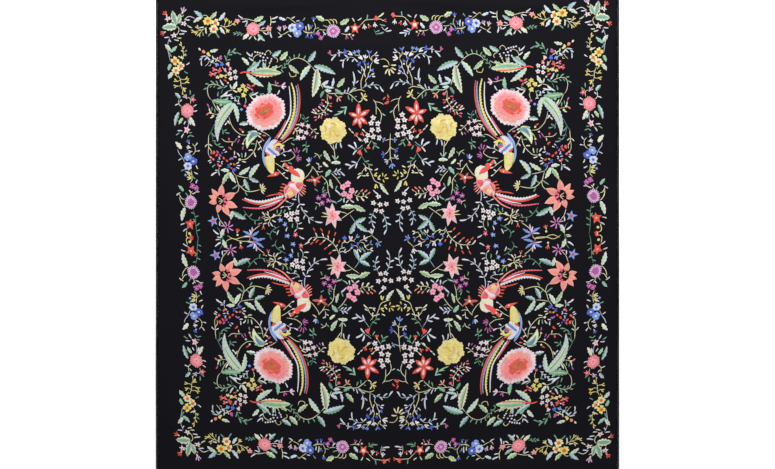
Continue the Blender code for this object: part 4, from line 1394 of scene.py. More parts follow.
# %% The blue tulip plant and the white blossoms by the middle line
TULIP_PLANT = (
    ("stems", "stem_cream",
     (1, (361.2, 90), (361, 82), (361.8, 79), (363, 75), (364.4, 71.6), (362, 67), (360.4, 65.4)),
     (0.8, (364.4, 71.6), (365.6, 68), (365.2, 65), (364, 62.8)), (0.9, (366.6, 84.6), (365.6, 80.4),
      (368, 77), (368.4, 74), (370.2, 70.4), (370.4, 66), (372.6, 61.6)),
     (0.8, (372.6, 61.6), (371, 59.4), (369.4, 57), (369.2, 53.8)),
     (0.8, (372, 61), (371.6, 57), (374.4, 55.2)), (0.8, (365, 62), (365, 58.4)),
     (0.8, (354.2, 54.6), (356.6, 55.4), (359.6, 55.2)),
     (0.8, (358.8, 53), (360.2, 56.2), (362.6, 59.6)), (0.8, (346.6, 51.2), (349.4, 51.6), (352.6, 55)),
     (0.9, (330, 54.4), (332.4, 55.4), (336.4, 54.4)), (0.8, (341, 53), (344, 52.4)),
     (0.9, (373, 99.2), (375, 101.6), (379.6, 102.4), (384, 104.6)),
     (0.9, (374, 100), (376, 105), (376.2, 115)),
     (0.9, (375.6, 106), (380, 111), (381.5, 116), (380.2, 122.4))),
    ("stems", "stem_ice", (0.8, (341, 61.4), (344.6, 59.4), (347.6, 57.6), (352.4, 57.4), (357.8, 61)),
     (0.9, (361.6, 88.6), (366, 86.2), (372, 85), (377.4, 84.8), (380.4, 86.8))),
    ("stems", "stem_mist", (0.9, (361.6, 71.6), (361.8, 68), (361, 66))),
    ("strokes", "ice_white", (336.6, 54.6, 331.2, 61, 1.8), (343.8, 60, 343, 68, 1.4),
     (344.6, 60.6, 340, 60.8, 1.3), (348, 57.8, 344.6, 55, 1.4), (349, 58, 347, 61, 1.2),
     (354.6, 59, 352, 62, 1.5), (354.6, 58.4, 358, 62, 1.3), (370, 85.4, 373.6, 82, 1.4),
     (368, 86, 371, 87.8, 1.3), (374.4, 85.4, 378.2, 89.2, 1.5), (364.4, 86.4, 366.6, 83.4, 1.2),
     (380, 86.2, 383.6, 92, 1.7), (357.8, 70.2, 361.2, 73.4, 1.3), (363, 68, 364.6, 72, 1.2),
     (365.6, 68.4, 364.2, 72.4, 1.2), (374, 55.2, 377.2, 51.8, 1.3), (374.6, 55.6, 378.6, 55.4, 1.4)),
    ("strokes", "magenta", (330.4, 54, 329.4, 50.4, 2), (330, 54, 327.8, 52.6, 1.8)),
    ("strokes", "mist_white", (339.4, 53.4, 338.4, 49.8, 1.4), (339.6, 53.2, 337, 53.4, 1.2),
     (339.4, 53, 339.4, 56.6, 1.3), (339.6, 53.2, 341.2, 51.6, 1.2)),
    ("strokes", "royal", (344.8, 52.6, 344.4, 48.9, 1.4), (345, 52, 347, 50.6, 1.4),
     (344.8, 52.4, 347, 53.4, 1.3), (344.8, 52.4, 344.4, 55.2, 1.4), (344.8, 52.2, 343, 52.2, 1.2),
     (369, 53.8, 370, 51.4, 1.3), (369.2, 53.8, 371.7, 50.6, 1.4), (360.2, 65, 357, 64.6, 1.5),
     (359.8, 64.4, 358.2, 62.4, 1.4), (360.2, 64.4, 360.2, 61.6, 1.4), (360, 65, 357.8, 66.4, 1.3),
     (364.2, 63, 362.4, 61.8, 1.4), (364.2, 63, 363.2, 60.2, 1.3), (364.2, 63, 365, 61.2, 1.3),
     (368.2, 66, 366.6, 63.6, 1.3), (368.2, 66, 368.4, 62.4, 1.5), (370.8, 70.4, 373.8, 68.8, 1.8),
     (370.8, 70.6, 373.8, 71.2, 1.8)),
    ("strokes", "sky", (354.4, 54.2, 352.3, 52, 1.3), (354.4, 54, 354.3, 50.2, 1.4),
     (354.5, 54, 356, 51.6, 1.2), (358.4, 53, 356.3, 50.6, 1.3), (358.6, 52.8, 358.4, 49.6, 1.3),
     (358.6, 52.8, 359.9, 50.6, 1.2), (369, 53.6, 367, 50.2, 1.4), (368.4, 77.4, 368.4, 74.2, 1.3),
     (368.6, 77.4, 371, 75.4, 1.2)),
    ("strokes", "snow", (352.6, 55.4, 349, 51.4, 1.6), (352.4, 55.4, 347.8, 54, 1.8),
     (362.6, 59.8, 358, 57.2, 1.9), (362.6, 59.6, 359.8, 55.6, 1.7), (365, 58.6, 362.9, 55.2, 1.5),
     (365, 58.4, 365.4, 54.6, 1.5), (365.2, 58.4, 368, 56.2, 1.4), (373.6, 61.4, 377, 57.6, 1.7),
     (374, 61.4, 379.2, 59.8, 1.7), (374, 61.6, 379, 63.4, 1.8), (371, 74.8, 374.2, 73.2, 1.5),
     (371.8, 76, 375.2, 76.6, 1.6)),
    ("strokes", "mint_leaf", (382, 113.2, 385.4, 115.6, 1.4)),
    ("strokes", "cream", (364.4, 72, 365.6, 77.4, 1)),
    ("blossoms", "white_blossom", (373.3, 118, 3.1), (371.3, 123.2, 3.1), (377.8, 123.5, 3.1),
     (372, 130, 3.1), (378.4, 130, 3.1), (367.8, 135.3, 2.9), (373.2, 136.8, 3.1), (366, 140.2, 3),
     (379.4, 137.8, 3.1)),
    ("buds", "cream", (368.2, 67.2, 0.9), (370.6, 70.2, 0.8)),
)
print("tulip plant:", count_rows(TULIP_PLANT), "rows")

# %% The twigs round the two birds
BIRD_TWIGS = (
    ("stems", "stem_cream", (1, (282, 144), (286, 141), (290, 138.5), (294, 138)),
     (0.9, (293, 153), (295, 156), (290, 160), (285, 161), (280, 161.5)),
     (0.9, (275, 163), (280, 166), (285, 170)), (0.9, (277, 169), (282, 174), (285, 177)),
     (0.9, (312, 166), (312, 169), (308, 175), (304, 179)), (0.9, (312, 166), (316, 171), (319, 176)),
     (0.9, (208.7, 135), (208.5, 143), (208.9, 147.4), (211.2, 150.8), (210.8, 155)),
     (0.8, (208.5, 147), (208.4, 153), (209.6, 156.6)),
     (0.9, (229, 116.4), (230.4, 122.4), (234, 129), (240.4, 134.4), (247.2, 135.2)),
     (0.9, (221.4, 138.2), (225.6, 141.6), (231, 141.8), (234.8, 142.2)),
     (0.9, (256.8, 140), (255.6, 147.6), (253, 152.6), (249, 157), (245.4, 159.4), (239.8, 159.6)),
     (0.9, (256.8, 139.8), (259.6, 145), (262.6, 150.8)), (0.9, (260, 131), (265, 133), (269.8, 136.4)),
     (0.9, (236, 175.4), (242, 177), (248.8, 178)), (0.8, (235.8, 175.4), (238.6, 185)),
     (0.8, (246.8, 137.2), (244.4, 140), (243.2, 143.2)),
     (0.7, (309.8, 128), (313, 130.2), (315.8, 133.2)), (0.7, (294.6, 129), (297, 132.6), (296.8, 136)),
     (0.8, (282.4, 167), (286, 165.6), (288.4, 167.4))),
    ("stems", "stem_mist", (0.9, (280, 154.5), (284, 152), (288, 151.5)),
     (0.8, (219.2, 167.6), (218.6, 170.8)), (0.9, (232.2, 170), (233.6, 173), (236, 175.6))),
    ("stems", "stem_fern", (0.9, (214.4, 124), (211.2, 131.4), (208.9, 135.6)),
     (0.8, (211, 132.6), (212.8, 139), (212, 142.4)), (0.8, (213.6, 142), (217, 145), (219, 146.4)),
     (0.8, (221, 126.4), (223, 130.8), (225.4, 132.4)), (0.9, (306.5, 141), (306, 146), (306.5, 152)),
     (0.8, (300.4, 118.4), (298.4, 122)),
     (0.8, (304.8, 123.6), (305.2, 119.6), (304.4, 117), (302.4, 114))),
    ("leaves", "mint_leaf", (247.6, 132, 256.8, 132.4, 3.2)),
    ("leaves", "half_mint", (248.5, 123.6, 239.2, 124.4, 4.4)),
    ("leaves", "teal_white", (244.4, 178.8, 249.6, 190.6, 4.4), (249.4, 177.8, 259.2, 182, 4)),
    ("leaves", "green_cream", (229.6, 172.4, 222.4, 184.8, 4.4)),
    ("leaves", "half_ice", (249.6, 177.6, 259.6, 164, 5.2, -0.08)),
    ("leaves", "lime_white", (229.4, 171.2, 220.8, 170.2, 3.8), (239, 174.4, 249.8, 167, 4.4),
     (229.8, 172.2, 235.8, 183, 4.2)),
    ("strokes", "fern_leaf", (211.4, 132.4, 215.4, 137, 1.5), (212.9, 140.2, 216.2, 141.4, 1.2),
     (214.4, 142.2, 217.6, 145.6, 1.3), (217, 145, 220.4, 143.4, 1.3), (218.2, 146.2, 223.9, 147, 1.6),
     (223.6, 130.8, 227, 129.3, 1.3), (223, 130.6, 223.4, 134.4, 1.2), (225, 132.4, 229.8, 133.2, 1.4),
     (215.4, 164.6, 212.3, 167.4, 1.5), (255.6, 144.2, 250.8, 144, 1.4), (242, 158, 241.4, 152.8, 1.4),
     (300.3, 118, 300.5, 113.8, 1.3), (305.4, 118.8, 309, 116.7, 1.3), (304.2, 119.8, 302, 117.9, 1.2),
     (305.7, 122, 308.2, 120.4, 1.2), (306, 145, 302.3, 146, 1.4), (306.2, 148, 302.6, 151.6, 1.5),
     (306, 147, 309.5, 145.4, 1.4), (291, 143, 294.6, 145, 1.5), (292.6, 140.4, 297, 138.4, 1.5),
     (288, 162, 292, 164, 1.4), (307.4, 148, 306.8, 153, 1.3), (298.2, 138.6, 296.4, 140.4, 1.1)),
    ("strokes", "lime_leaf", (244.8, 157.6, 245.7, 152.4, 1.4), (241.6, 161, 246.2, 162.1, 1.3),
     (295.6, 124.6, 300.2, 124.2, 1.3), (306, 166, 310, 163.4, 1.4)),
    ("strokes", "cream", (208, 144, 205, 147.2, 1.2), (209, 143.8, 212.2, 146, 1.2),
     (232.6, 142.6, 232, 146, 1.2), (253, 150.2, 248.5, 150.4, 1.5), (258, 132.6, 261.4, 134.2, 1.4),
     (257.6, 134.8, 261, 137.6, 1.4), (211.8, 161.8, 209.4, 163.4, 1.3),
     (294.2, 129.3, 298.8, 127.2, 1.2), (295.5, 129.6, 298.2, 131.2, 1.1),
     (294.9, 130.8, 293.2, 134.4, 1.2), (313.7, 129.6, 316.8, 129, 1.2),
     (312.7, 130.9, 311.4, 133.6, 1.1), (315.4, 133, 318.7, 133.4, 1.2), (316.2, 135, 315.2, 138.7, 1.3),
     (230, 124.4, 227.2, 121, 1.2)),
    ("strokes", "snow", (227.4, 122.6, 225, 125.2, 1.4), (254.2, 152, 255.9, 157.2, 1.5),
     (239.8, 156.8, 236.9, 152.9, 1.4), (223, 150.8, 224.8, 149, 1.2), (224.4, 152.4, 227, 151.3, 1.2),
     (234.3, 155.4, 234.4, 150.9, 1.3), (233.2, 156.4, 236.8, 157.1, 1.3), (236, 163.8, 239, 161.9, 1.3),
     (236.8, 165.4, 240.3, 165.4, 1.3), (236, 166.8, 239.5, 168.7, 1.3), (217.6, 171.8, 211, 175.9, 1.9),
     (282, 166.8, 284.6, 162.8, 1.3), (285, 169.8, 288.8, 171, 1.4), (282, 174, 285.2, 172.4, 1.3),
     (285, 177, 288.2, 178.6, 1.3), (284, 152, 283, 147.8, 1.3), (287.4, 151.6, 291.6, 149.4, 1.4),
     (258, 143, 261.7, 140.8, 1.4), (261, 147, 258, 150.2, 1.3), (283, 154, 285.8, 156, 1.3)),
    ("strokes", "mist_white", (219, 156.4, 220.2, 159.8, 1.3), (217, 161.3, 219.8, 161.8, 1.2),
     (223.2, 161.4, 221, 162.3, 1.2), (221.4, 162.3, 222.5, 164.3, 1.2), (211.2, 160, 208, 161.5, 1.4),
     (218.3, 170.7, 215.1, 170.3, 1.3), (218.8, 170.8, 219.7, 175.5, 1.4)),
    ("strokes", "scarlet", (229.2, 141, 228.6, 137.9, 2), (230.2, 147.2, 231.2, 149.8, 2),
     (239, 128.4, 242.3, 130.4, 1.6), (212.4, 154.2, 214.2, 150.6, 2.4), (213.6, 154.4, 215, 151.6, 1.7),
     (215.4, 156.4, 217.8, 153.8, 2.4), (223, 156.8, 224.6, 159.2, 2.4), (226, 159.6, 228, 161.6, 2.2),
     (230.4, 148.4, 228.4, 147.2, 1.4)),
    ("strokes", "orchid", (237.7, 137.8, 234.8, 142, 1.4), (239.6, 139.2, 237.8, 143.1, 1.3),
     (243.5, 145.8, 242.8, 149.9, 1.5), (216.6, 150.4, 218.8, 153.2, 2.3), (219.4, 154, 221.4, 156.4, 2),
     (229.2, 159.8, 231.6, 158, 2.2), (311.1, 134, 309, 136.1, 1.4), (313.7, 135.9, 311.9, 138, 1.3),
     (296.6, 152.4, 296.6, 147, 1.4), (295.4, 153, 293.4, 148.2, 1.4), (297.4, 153.4, 299.8, 150, 1.3),
     (294.2, 153.2, 290.4, 151, 1.3), (296.2, 157.4, 299, 154.7, 1.3), (296.4, 157.6, 301.8, 157.5, 1.5),
     (296.4, 158, 301.4, 160, 1.4), (296, 158.4, 298.8, 161.6, 1.3)),
    ("strokes", "violet_blue", (231.6, 157.4, 233.6, 159.2, 1.9)),
    ("strokes", "royal", (221.4, 153.6, 222.8, 152, 1.5), (217.6, 160.2, 219, 158.8, 1.5),
     (230.4, 166.2, 227, 164.8, 1.3), (230.4, 167.2, 227, 167.2, 1.2), (234, 168, 232.6, 171, 1.3),
     (234.3, 168.2, 234.5, 171.8, 1.4), (234.6, 168, 236.4, 170.6, 1.3),
     (309.7, 162.4, 311.6, 157.2, 1.6)),
    ("strokes", "pale_sky", (309, 162.4, 306.4, 159, 1.4), (309.4, 162, 308.6, 157.4, 1.4)),
    ("strokes", "rose", (262.2, 135.2, 266, 135.6, 1.6), (261.4, 138.2, 264.3, 141.1, 1.5),
     (212.2, 158, 214.4, 160.2, 2.4), (217.4, 163.6, 219.4, 166, 2.3), (230.6, 167.4, 232.2, 168.6, 1.5)),
    ("strokes", "peach_pink", (209.8, 156.2, 211.6, 158.2, 2.1), (218.8, 166.6, 221.2, 165.2, 1.9)),
    ("strokes", "gold", (229.6, 164.4, 231.8, 163.4, 1.9)),
    ("strokes", "amber", (233, 163.4, 235.4, 165, 2.1)),
    ("blossoms", "beige_star", (302.4, 124.9, 2.7), (308.1, 126.1, 2.8), (300.6, 131.1, 3),
     (306.4, 132.9, 2.8), (298.4, 137.5, 3), (303.3, 137.8, 2.8)),
    ("buds", "cream", (228.1, 121.7, 1.1), (242.8, 131.9, 1), (239.2, 136.8, 1), (243.1, 143.8, 1),
     (239.6, 159.6, 1.3), (260, 134, 0.8)),
)
print("bird twigs:", count_rows(BIRD_TWIGS), "rows")

# %% The rose's stems and leaves
ROSE_STEMS = (
    ("stems", "stem_cream", (1, (329, 142), (331, 146), (334, 150)),
     (1, (333, 144), (334, 149), (335.4, 160.4)), (0.9, (314, 153), (318, 155), (320, 159)),
     (0.9, (318.5, 163), (319, 167), (319, 170)), (0.9, (316, 171), (320, 172), (323, 171)),
     (0.9, (321, 175), (327, 182), (328, 190), (330, 198)), (0.9, (331, 173), (336, 178), (341, 185)),
     (0.8, (354, 134), (357.4, 137), (361, 139.6), (363, 142)), (0.8, (362.4, 129.6), (366.6, 133.4)),
     (0.8, (371.4, 140.4), (369, 144.4)),
     (0.8, (363, 163), (365.6, 166.8), (362.4, 171.6), (361.6, 175)),
     (0.9, (368.5, 164), (369.6, 169.4), (372, 174.6), (374.4, 180.4), (379, 183), (384, 185))),
    ("stems", "stem_ice", (0.8, (356.6, 149.4), (360, 147.4), (363, 144.6)),
     (0.8, (361.8, 155.6), (357.6, 162), (354.6, 164.6), (350, 168.4))),
    ("stems", "stem_fern", (0.8, (362, 156), (365, 161.2), (368, 164), (369.4, 166.6)),
     (0.8, (371.8, 140.2), (374.6, 145.4), (379, 148)), (0.8, (359.6, 150.4), (363, 147.4))),
    ("stems", "stem_mist", (0.8, (332.4, 172.4), (337, 171), (341, 171.8))),
    ("leaves", "pale_edged", (324, 150.5, 330.5, 161.5, 4.2)),
    ("leaves", "lime_white", (340.6, 163, 331, 163, 3.8)),
    ("leaves", "mint_leaf", (331, 170, 325.5, 177, 4.2)),
    ("leaves", "lime_leaf", (323, 162, 328.5, 167, 2.8)),
    ("strokes", "mint_leaf", (335, 160, 332, 155.4, 1.3), (335.6, 159.6, 338.4, 155.8, 1.3)),
    ("strokes", "fern_leaf", (364.4, 148, 367, 152.4, 1.5), (372.6, 142, 376.8, 144.2, 1.6),
     (375, 145.4, 379.5, 148.2, 1.6), (374.6, 145.2, 373, 149.6, 1.5), (364.4, 161.6, 369.2, 160.4, 1.5),
     (368, 164, 372.8, 165, 1.6), (317, 155, 314, 157.5, 1.2), (319, 157, 322, 154.5, 1.2),
     (327, 182, 324, 184.5, 1.3), (327.7, 186, 331, 184, 1.3), (328.5, 192, 325.5, 193.5, 1.3),
     (337, 178, 340.5, 177, 1.2)),
    ("strokes", "ice_white", (355.4, 149.8, 347.8, 145, 2.1), (356.4, 148.4, 354, 141.8, 1.9),
     (357, 149.8, 353, 155, 1.8), (351.4, 166.2, 344.8, 164.2, 1.9), (354.2, 164.6, 348.8, 169.2, 1.6),
     (356.6, 163.2, 351.2, 161.6, 1.6), (357.6, 163, 355.6, 168.4, 1.6)),
    ("strokes", "mist_white", (336.8, 142.6, 336, 149, 1.5), (340.2, 142, 341.8, 148, 1.6),
     (319, 165, 316, 163, 1.2), (319, 167, 322, 166, 1.2), (334.6, 171.8, 336.8, 168.2, 1.3),
     (336.8, 171, 341, 168.8, 1.4), (334.2, 172.4, 337.2, 175, 1.3), (337, 171.6, 340.2, 175, 1.5),
     (340.4, 171.2, 345, 175.8, 1.7)),
    ("strokes", "cream", (351, 131.2, 348.6, 128.2, 1.2), (353.8, 133.6, 351.2, 131.4, 1.3),
     (365, 132, 362, 129.2, 1.3), (363.8, 136.2, 363, 134.2, 1), (358.4, 138.4, 361.2, 141, 1.6),
     (368, 135.8, 366.2, 132.8, 1.1), (365.4, 167, 366.2, 171.4, 1.4), (365.6, 167, 369, 168.8, 1.2),
     (361.4, 175, 357.2, 178.8, 1.6), (361.6, 173, 358, 174.6, 1.4), (361.8, 175.6, 366, 175.6, 1.2),
     (366, 175.2, 368.2, 172.8, 1.3), (366, 175.6, 369, 175.4, 1.2), (369.6, 168.6, 372.4, 170, 1.2),
     (374.4, 170.2, 378, 168.6, 1.5), (377.6, 178, 380.4, 175, 1.4), (377.4, 178.4, 380.4, 179.4, 1.3),
     (369, 144.4, 368, 146.4, 1.4)),
    ("strokes", "scarlet", (357.6, 135.8, 354.2, 135.4, 1.9), (357.4, 135.6, 355.6, 132.8, 1.7),
     (357.2, 135.4, 357.4, 132.6, 1.5), (362.8, 134.6, 361.8, 131.8, 1.5),
     (362.8, 134.6, 360.2, 134.4, 1.6), (360.2, 149.8, 357.6, 153.8, 2.1), (360.2, 150, 359.8, 155, 1.9),
     (360.4, 149.8, 362, 155.8, 1.8)),
    ("strokes", "brick", (368.4, 146.2, 366.8, 148.8, 1.7), (368.6, 146.2, 370.2, 148.8, 1.7),
     (368.6, 146.4, 368.6, 149.2, 1.5)),
    ("strokes", "yellow", (373.8, 175.4, 377, 172.4, 1.5), (373.8, 175.6, 377.2, 175.8, 1.6),
     (382.6, 176.6, 382.4, 172.8, 1.3), (383.8, 177, 386.6, 174, 1.3), (384.4, 178, 388.6, 178.2, 1.6),
     (383, 179.4, 384.4, 182.4, 1.3), (376, 184, 375.2, 188.8, 2), (376.4, 184, 378, 188.2, 1.3)),
)
print("rose stems:", count_rows(ROSE_STEMS), "rows")

# %% The lower field by the side border
LILY_SPRAY = (
    ("stems", "stem_cream", (0.9, (217.5, 213), (220, 220), (225, 226)),
     (0.9, (235, 194), (238, 191), (239, 186), (237, 181)), (0.9, (251, 233), (255, 229), (260, 225))),
    ("stems", "olive", (1.1, (238, 184), (245, 190.5), (252, 191.5), (260.5, 189.5)),
     (1, (225, 242), (229, 239.5), (233, 238.5), (240, 241), (249, 241), (250, 237)),
     (1, (265, 213), (270, 218), (268, 225)), (0.9, (262, 216), (270, 218), (278, 215))),
    ("stems", "stem_fern", (1, (243.5, 210), (248, 216), (253, 220), (262, 220)),
     (0.9, (217, 227), (220, 232), (221, 242)), (1, (280, 226), (272, 231), (270, 236), (272, 240))),
    ("stems", "stem_mist", (1, (300.6, 206), (303, 211), (306.2, 215), (309.7, 218.4), (315, 221.4)),
     (0.9, (289, 202.5), (292, 203.5), (294, 203)), (0.9, (284.5, 206.5), (290, 206.5), (294, 203.5)),
     (0.9, (297, 222), (297.5, 225), (297, 229))),
    ("leaves", "teal_white", (233, 212, 246, 219, 5.2)),
    ("leaves", "lime_white", (233, 211, 231, 219.5, 4.2), (224, 229, 221, 237.5, 4.2)),
    ("leaves", "fern_leaf", (232, 189, 238, 184.5), (245, 191, 247.5, 195.5), (241, 187, 244.5, 184.5),
     (246, 213.5, 244, 217.5), (249, 217, 252, 213.5), (255, 220.3, 255.5, 224.5),
     (258, 220.2, 260, 216.5), (277, 214, 277, 209.5), (280, 214, 281.5, 209.5),
     (283, 213, 285.5, 209.5), (276, 228.5, 273.5, 226), (272.5, 231, 276.5, 232.5),
     (270, 235, 266.5, 233), (293, 223, 292.5, 228), (221, 236, 224.5, 234), (288, 210, 291, 208)),
    ("leaves", "cream_leaf", (265, 216, 262, 212), (268, 216, 267.5, 211), (269, 219, 264.5, 221),
     (271, 218, 275, 214), (272, 220, 276, 222), (270, 222, 273, 226.5), (267, 223, 263, 224.5),
     (298, 228, 303.5, 228.5), (298, 224, 302, 222.5), (220, 239.5, 215.5, 240), (297, 229, 294.5, 232)),
    ("leaves", "white_leaf", (220, 221, 220, 226), (213, 229.5, 219, 234.5), (273, 214, 276.5, 216),
     (279, 230, 277, 235), (287.5, 227, 286, 231.5), (299, 236, 304.5, 239), (292, 199, 296.5, 199.5),
     (289, 202.5, 285.5, 201), (284.5, 206.5, 280.5, 208), (299.5, 204, 305, 204.5),
     (300, 204, 297, 208.5), (288, 206, 290, 210), (301.6, 207, 302.9, 211), (303.4, 210, 307.9, 211.9),
     (305.6, 214.8, 303.5, 219.2), (308.8, 218, 309.8, 223.5), (309.6, 217.8, 313.7, 217.3),
     (314.6, 221.2, 322.6, 222.4)),
    ("leaves", "sky", (251, 236, 243, 231, 2.6), (251.5, 236, 259, 231, 2.6),
     (251.5, 237, 261, 240.5, 2.6)),
    ("leaves", "white", (250, 236.5, 243.5, 236.8), (250.8, 235.5, 249.5, 229.5)),
    ("leaves", "lilac", (251, 235, 252.2, 227)),
    ("fans", "pale_yellow", (260.5, 189, 70, 6, 6, 150)),
    ("fans", "magenta_pale", (227.5, 227, 20, 7, 7, 300)),
    ("tulips", "scarlet", (237.5, 231, 10, 4), (263.5, 227.5, 180, 3.6)),
    ("tulips", "magenta", (263.5, 218.5, -70, 3.4)),
    ("tulips", "pink", (260.5, 223.5, -110, 3.4)),
    ("tulips", "lilac", (268.5, 224, 160, 3.4)),
    ("tulips", "yellow", (279, 215, 70, 3.6)),
    ("blossoms", "blue_star", (213.5, 221, 5.4)),
    ("blossoms", "sky_small", (280.5, 220, 2.9), (285, 224.5, 2.7), (287.5, 236, 2.9)),
    ("blossoms", "white_blossom", (286.5, 215.5, 3.1), (291.7, 213.7, 3.1), (297, 212.5, 3),
     (290.5, 219.3, 3.1), (297, 219, 3.1)),
    ("blossoms", "rose_small", (295.5, 235, 2.9)),
    ("buds", "cream", (237.5, 235, 1)),
    ("buds", "red_pink", (251, 236.3, 1.2)),
)
print("lily spray:", count_rows(LILY_SPRAY), "rows")

# %% The lower field by the middle line
STAR_SPRAY = (
    ("stems", "stem_cream", (0.9, (340.4, 212), (344.4, 212.6), (347, 214)),
     (0.9, (341, 219), (348, 214), (354.6, 209.6)),
     (0.8, (353.8, 194), (357, 196), (361, 196.8), (365, 196.3), (368, 197.5)),
     (0.7, (357.6, 195.6), (359.8, 192.6)), (0.7, (363, 196.2), (363.6, 193)),
     (0.7, (365.4, 196), (367, 194.2)), (0.9, (315, 202.5), (319, 204), (320, 207)),
     (0.9, (330, 215), (326, 213.5), (322, 212.5)), (0.9, (330, 217), (326, 216.8), (321, 216.5))),
    ("stems", "stem_ice", (1, (374, 212), (371.5, 217), (371.5, 221), (374.5, 228)),
     (1, (382.5, 213), (385, 218), (386.5, 224), (386.5, 230), (384.5, 234.5)),
     (0.8, (350, 214.8), (353, 219), (355.3, 222.6))),
    ("leaves", "green_cream", (354, 205.5, 365.4, 211, 5.2), (354.4, 207, 340.8, 207.3, 5),
     (330, 179, 333, 189, 2.8)),
    ("leaves", "lime_white", (380, 183.4, 388.6, 194.8, 3.6)),
    ("leaves", "fern_leaf", (318, 191.5, 314.5, 189), (322, 190.5, 323.8, 186.5), (335, 190, 337, 185.5),
     (334, 201, 337, 203.5), (340, 201, 341.5, 198), (326, 190, 322, 192.5), (317, 206, 315.5, 210)),
    ("leaves", "cream_leaf", (319, 204, 322, 201.5)),
    ("leaves", "teal_white", (355.4, 222, 365.7, 217.6, 4.6), (355.6, 222.6, 368.2, 231.8, 4.8),
     (349.8, 233.8, 354.8, 222.6, 4.8)),
    ("strokes", "ice_white", (373, 189.8, 378.2, 194.2, 1.5), (340.8, 195.6, 335, 189.8, 1.7),
     (344.4, 197.6, 344, 202.6, 1.6), (349, 199.8, 346.2, 203.2, 1.3), (350, 199.4, 354.2, 202.6, 1.4),
     (372.8, 214.4, 376.2, 218.2, 1.3), (372, 220.6, 375.8, 223, 1.3), (372.4, 223.6, 374.8, 228.2, 1.5),
     (385, 217, 389.2, 217.8, 1.4), (384.8, 218, 382.8, 222.2, 1.3), (386.4, 222.6, 391, 224.6, 1.7),
     (386.6, 225, 383.4, 227.2, 1.3), (386.6, 229.4, 384.2, 234.6, 1.6)),
    ("strokes", "teal_ice", (372.2, 214.4, 369.2, 214.4, 1.2), (371.6, 217.6, 368.6, 217.8, 1.3),
     (371.4, 221.2, 368.8, 223.6, 1.3)),
    ("strokes", "mint_leaf", (337, 202, 342.2, 198.8, 1.5), (330.6, 200.4, 336, 202.2, 1.6)),
    ("strokes", "cream", (354.8, 193.6, 357.4, 190.2, 1.2), (356.4, 196.4, 358.4, 201, 1.6),
     (361, 197, 364.2, 201, 1.8), (365, 196.6, 368, 197.8, 1.2), (363.2, 196, 363.4, 193.2, 1.1)),
    ("strokes", "coral", (360.2, 192, 362.9, 189.2, 1.5), (364.2, 192.1, 367.1, 189.7, 1.6),
     (367.2, 194.3, 370.2, 191.9, 1.5)),
    ("blossoms", "magenta_star", (324, 195.5, 2.8), (318.5, 198, 2.8), (328.5, 200.5, 2.8),
     (322.5, 203, 2.7)),
    ("blossoms", "pink_blossom", (347.8, 184.2, 3.2), (343, 186.9, 3.2), (351.9, 191, 3.2),
     (344, 194.2, 3.2), (349.6, 196.6, 3.2)),
    ("blossoms", "white_blossom", (378.6, 196.5, 2.8), (373.6, 203.1, 2.9), (380.3, 204.5, 2.8),
     (386.3, 204.2, 2.8), (376.3, 210.4, 2.7), (381.4, 211.3, 2.8)),
    ("buds", "cream", (363.4, 193.4, 0.7)),
)
print("star spray:", count_rows(STAR_SPRAY), "rows")

# %% The plants on the shawl's own middle lines
# worked once above and once below, on the upright middle line
MIDDLE_PLANTS = (
    ("stems", "stem_cream",
     (0.9, (390.5, 133), (390.1, 140), (390, 147), (390.4, 157.4), (392.2, 163.4)),
     (0.8, (384.6, 140.9), (388, 139.6), (391, 139), (394, 140.2)),
     (0.8, (390, 147), (388, 151.4), (384.6, 154.6)), (0.8, (390, 146.4), (392, 148.6), (395.2, 149.6)),
     (0.8, (390.6, 157.4), (388.6, 160.4)), (0.8, (390.6, 157.4), (393, 158.2), (395, 158))),
    ("stems", "olive", (1, (380, 59.4), (384.6, 59.2), (388, 61.8), (389.3, 65.6))),
    ("strokes", "scarlet", (387.6, 94.4, 389, 98.2, 1.9), (385.8, 97, 383, 99.9, 1.7),
     (384.2, 104, 389, 101, 2.9), (386.8, 99.6, 388.4, 99, 1.2)),
    ("strokes", "pale_yellow", (388.4, 66.6, 382.8, 66.6, 1.7), (388.4, 68.6, 385.2, 74.2, 1.6),
     (389.2, 69, 389.9, 75.8, 1.7), (390.3, 68.6, 394.2, 73.4, 1.7), (391.4, 67.4, 396.2, 69.8, 1.7),
     (390.8, 65, 396.2, 65, 1.7)),
    ("strokes", "sky", (384, 140.6, 384.8, 137.4, 1.4), (383.8, 140.6, 382.6, 138.6, 1.3),
     (384, 141, 382.6, 142, 1.5), (394, 140, 395, 137.4, 1.4), (394.2, 140.2, 397, 139.4, 1.4),
     (394.2, 140.4, 395.4, 142.4, 1.4), (392.4, 163.6, 389.2, 168, 1.6), (392.4, 163.8, 392.6, 169, 1.6),
     (392.6, 163.6, 395.2, 166.4, 1.5)),
    ("strokes", "royal", (384.4, 154.4, 382, 151.4, 1.4), (384.2, 154.6, 381, 154.6, 1.4),
     (384.4, 155, 382.6, 158.2, 1.5), (395.2, 149.6, 398.4, 147.8, 1.4), (395.2, 150, 398, 151.4, 1.5),
     (395, 150, 396, 153.2, 1.4)),
    ("strokes", "mist_white", (388.2, 160.6, 384, 159.6, 1.4), (388, 161, 384.6, 162.4, 1.3),
     (388.2, 161, 386.8, 164.6, 1.4), (395.2, 158, 394.4, 154.2, 1.5), (395.4, 158, 398, 155, 1.4),
     (395.4, 158.4, 398.8, 158.6, 1.4)),
)
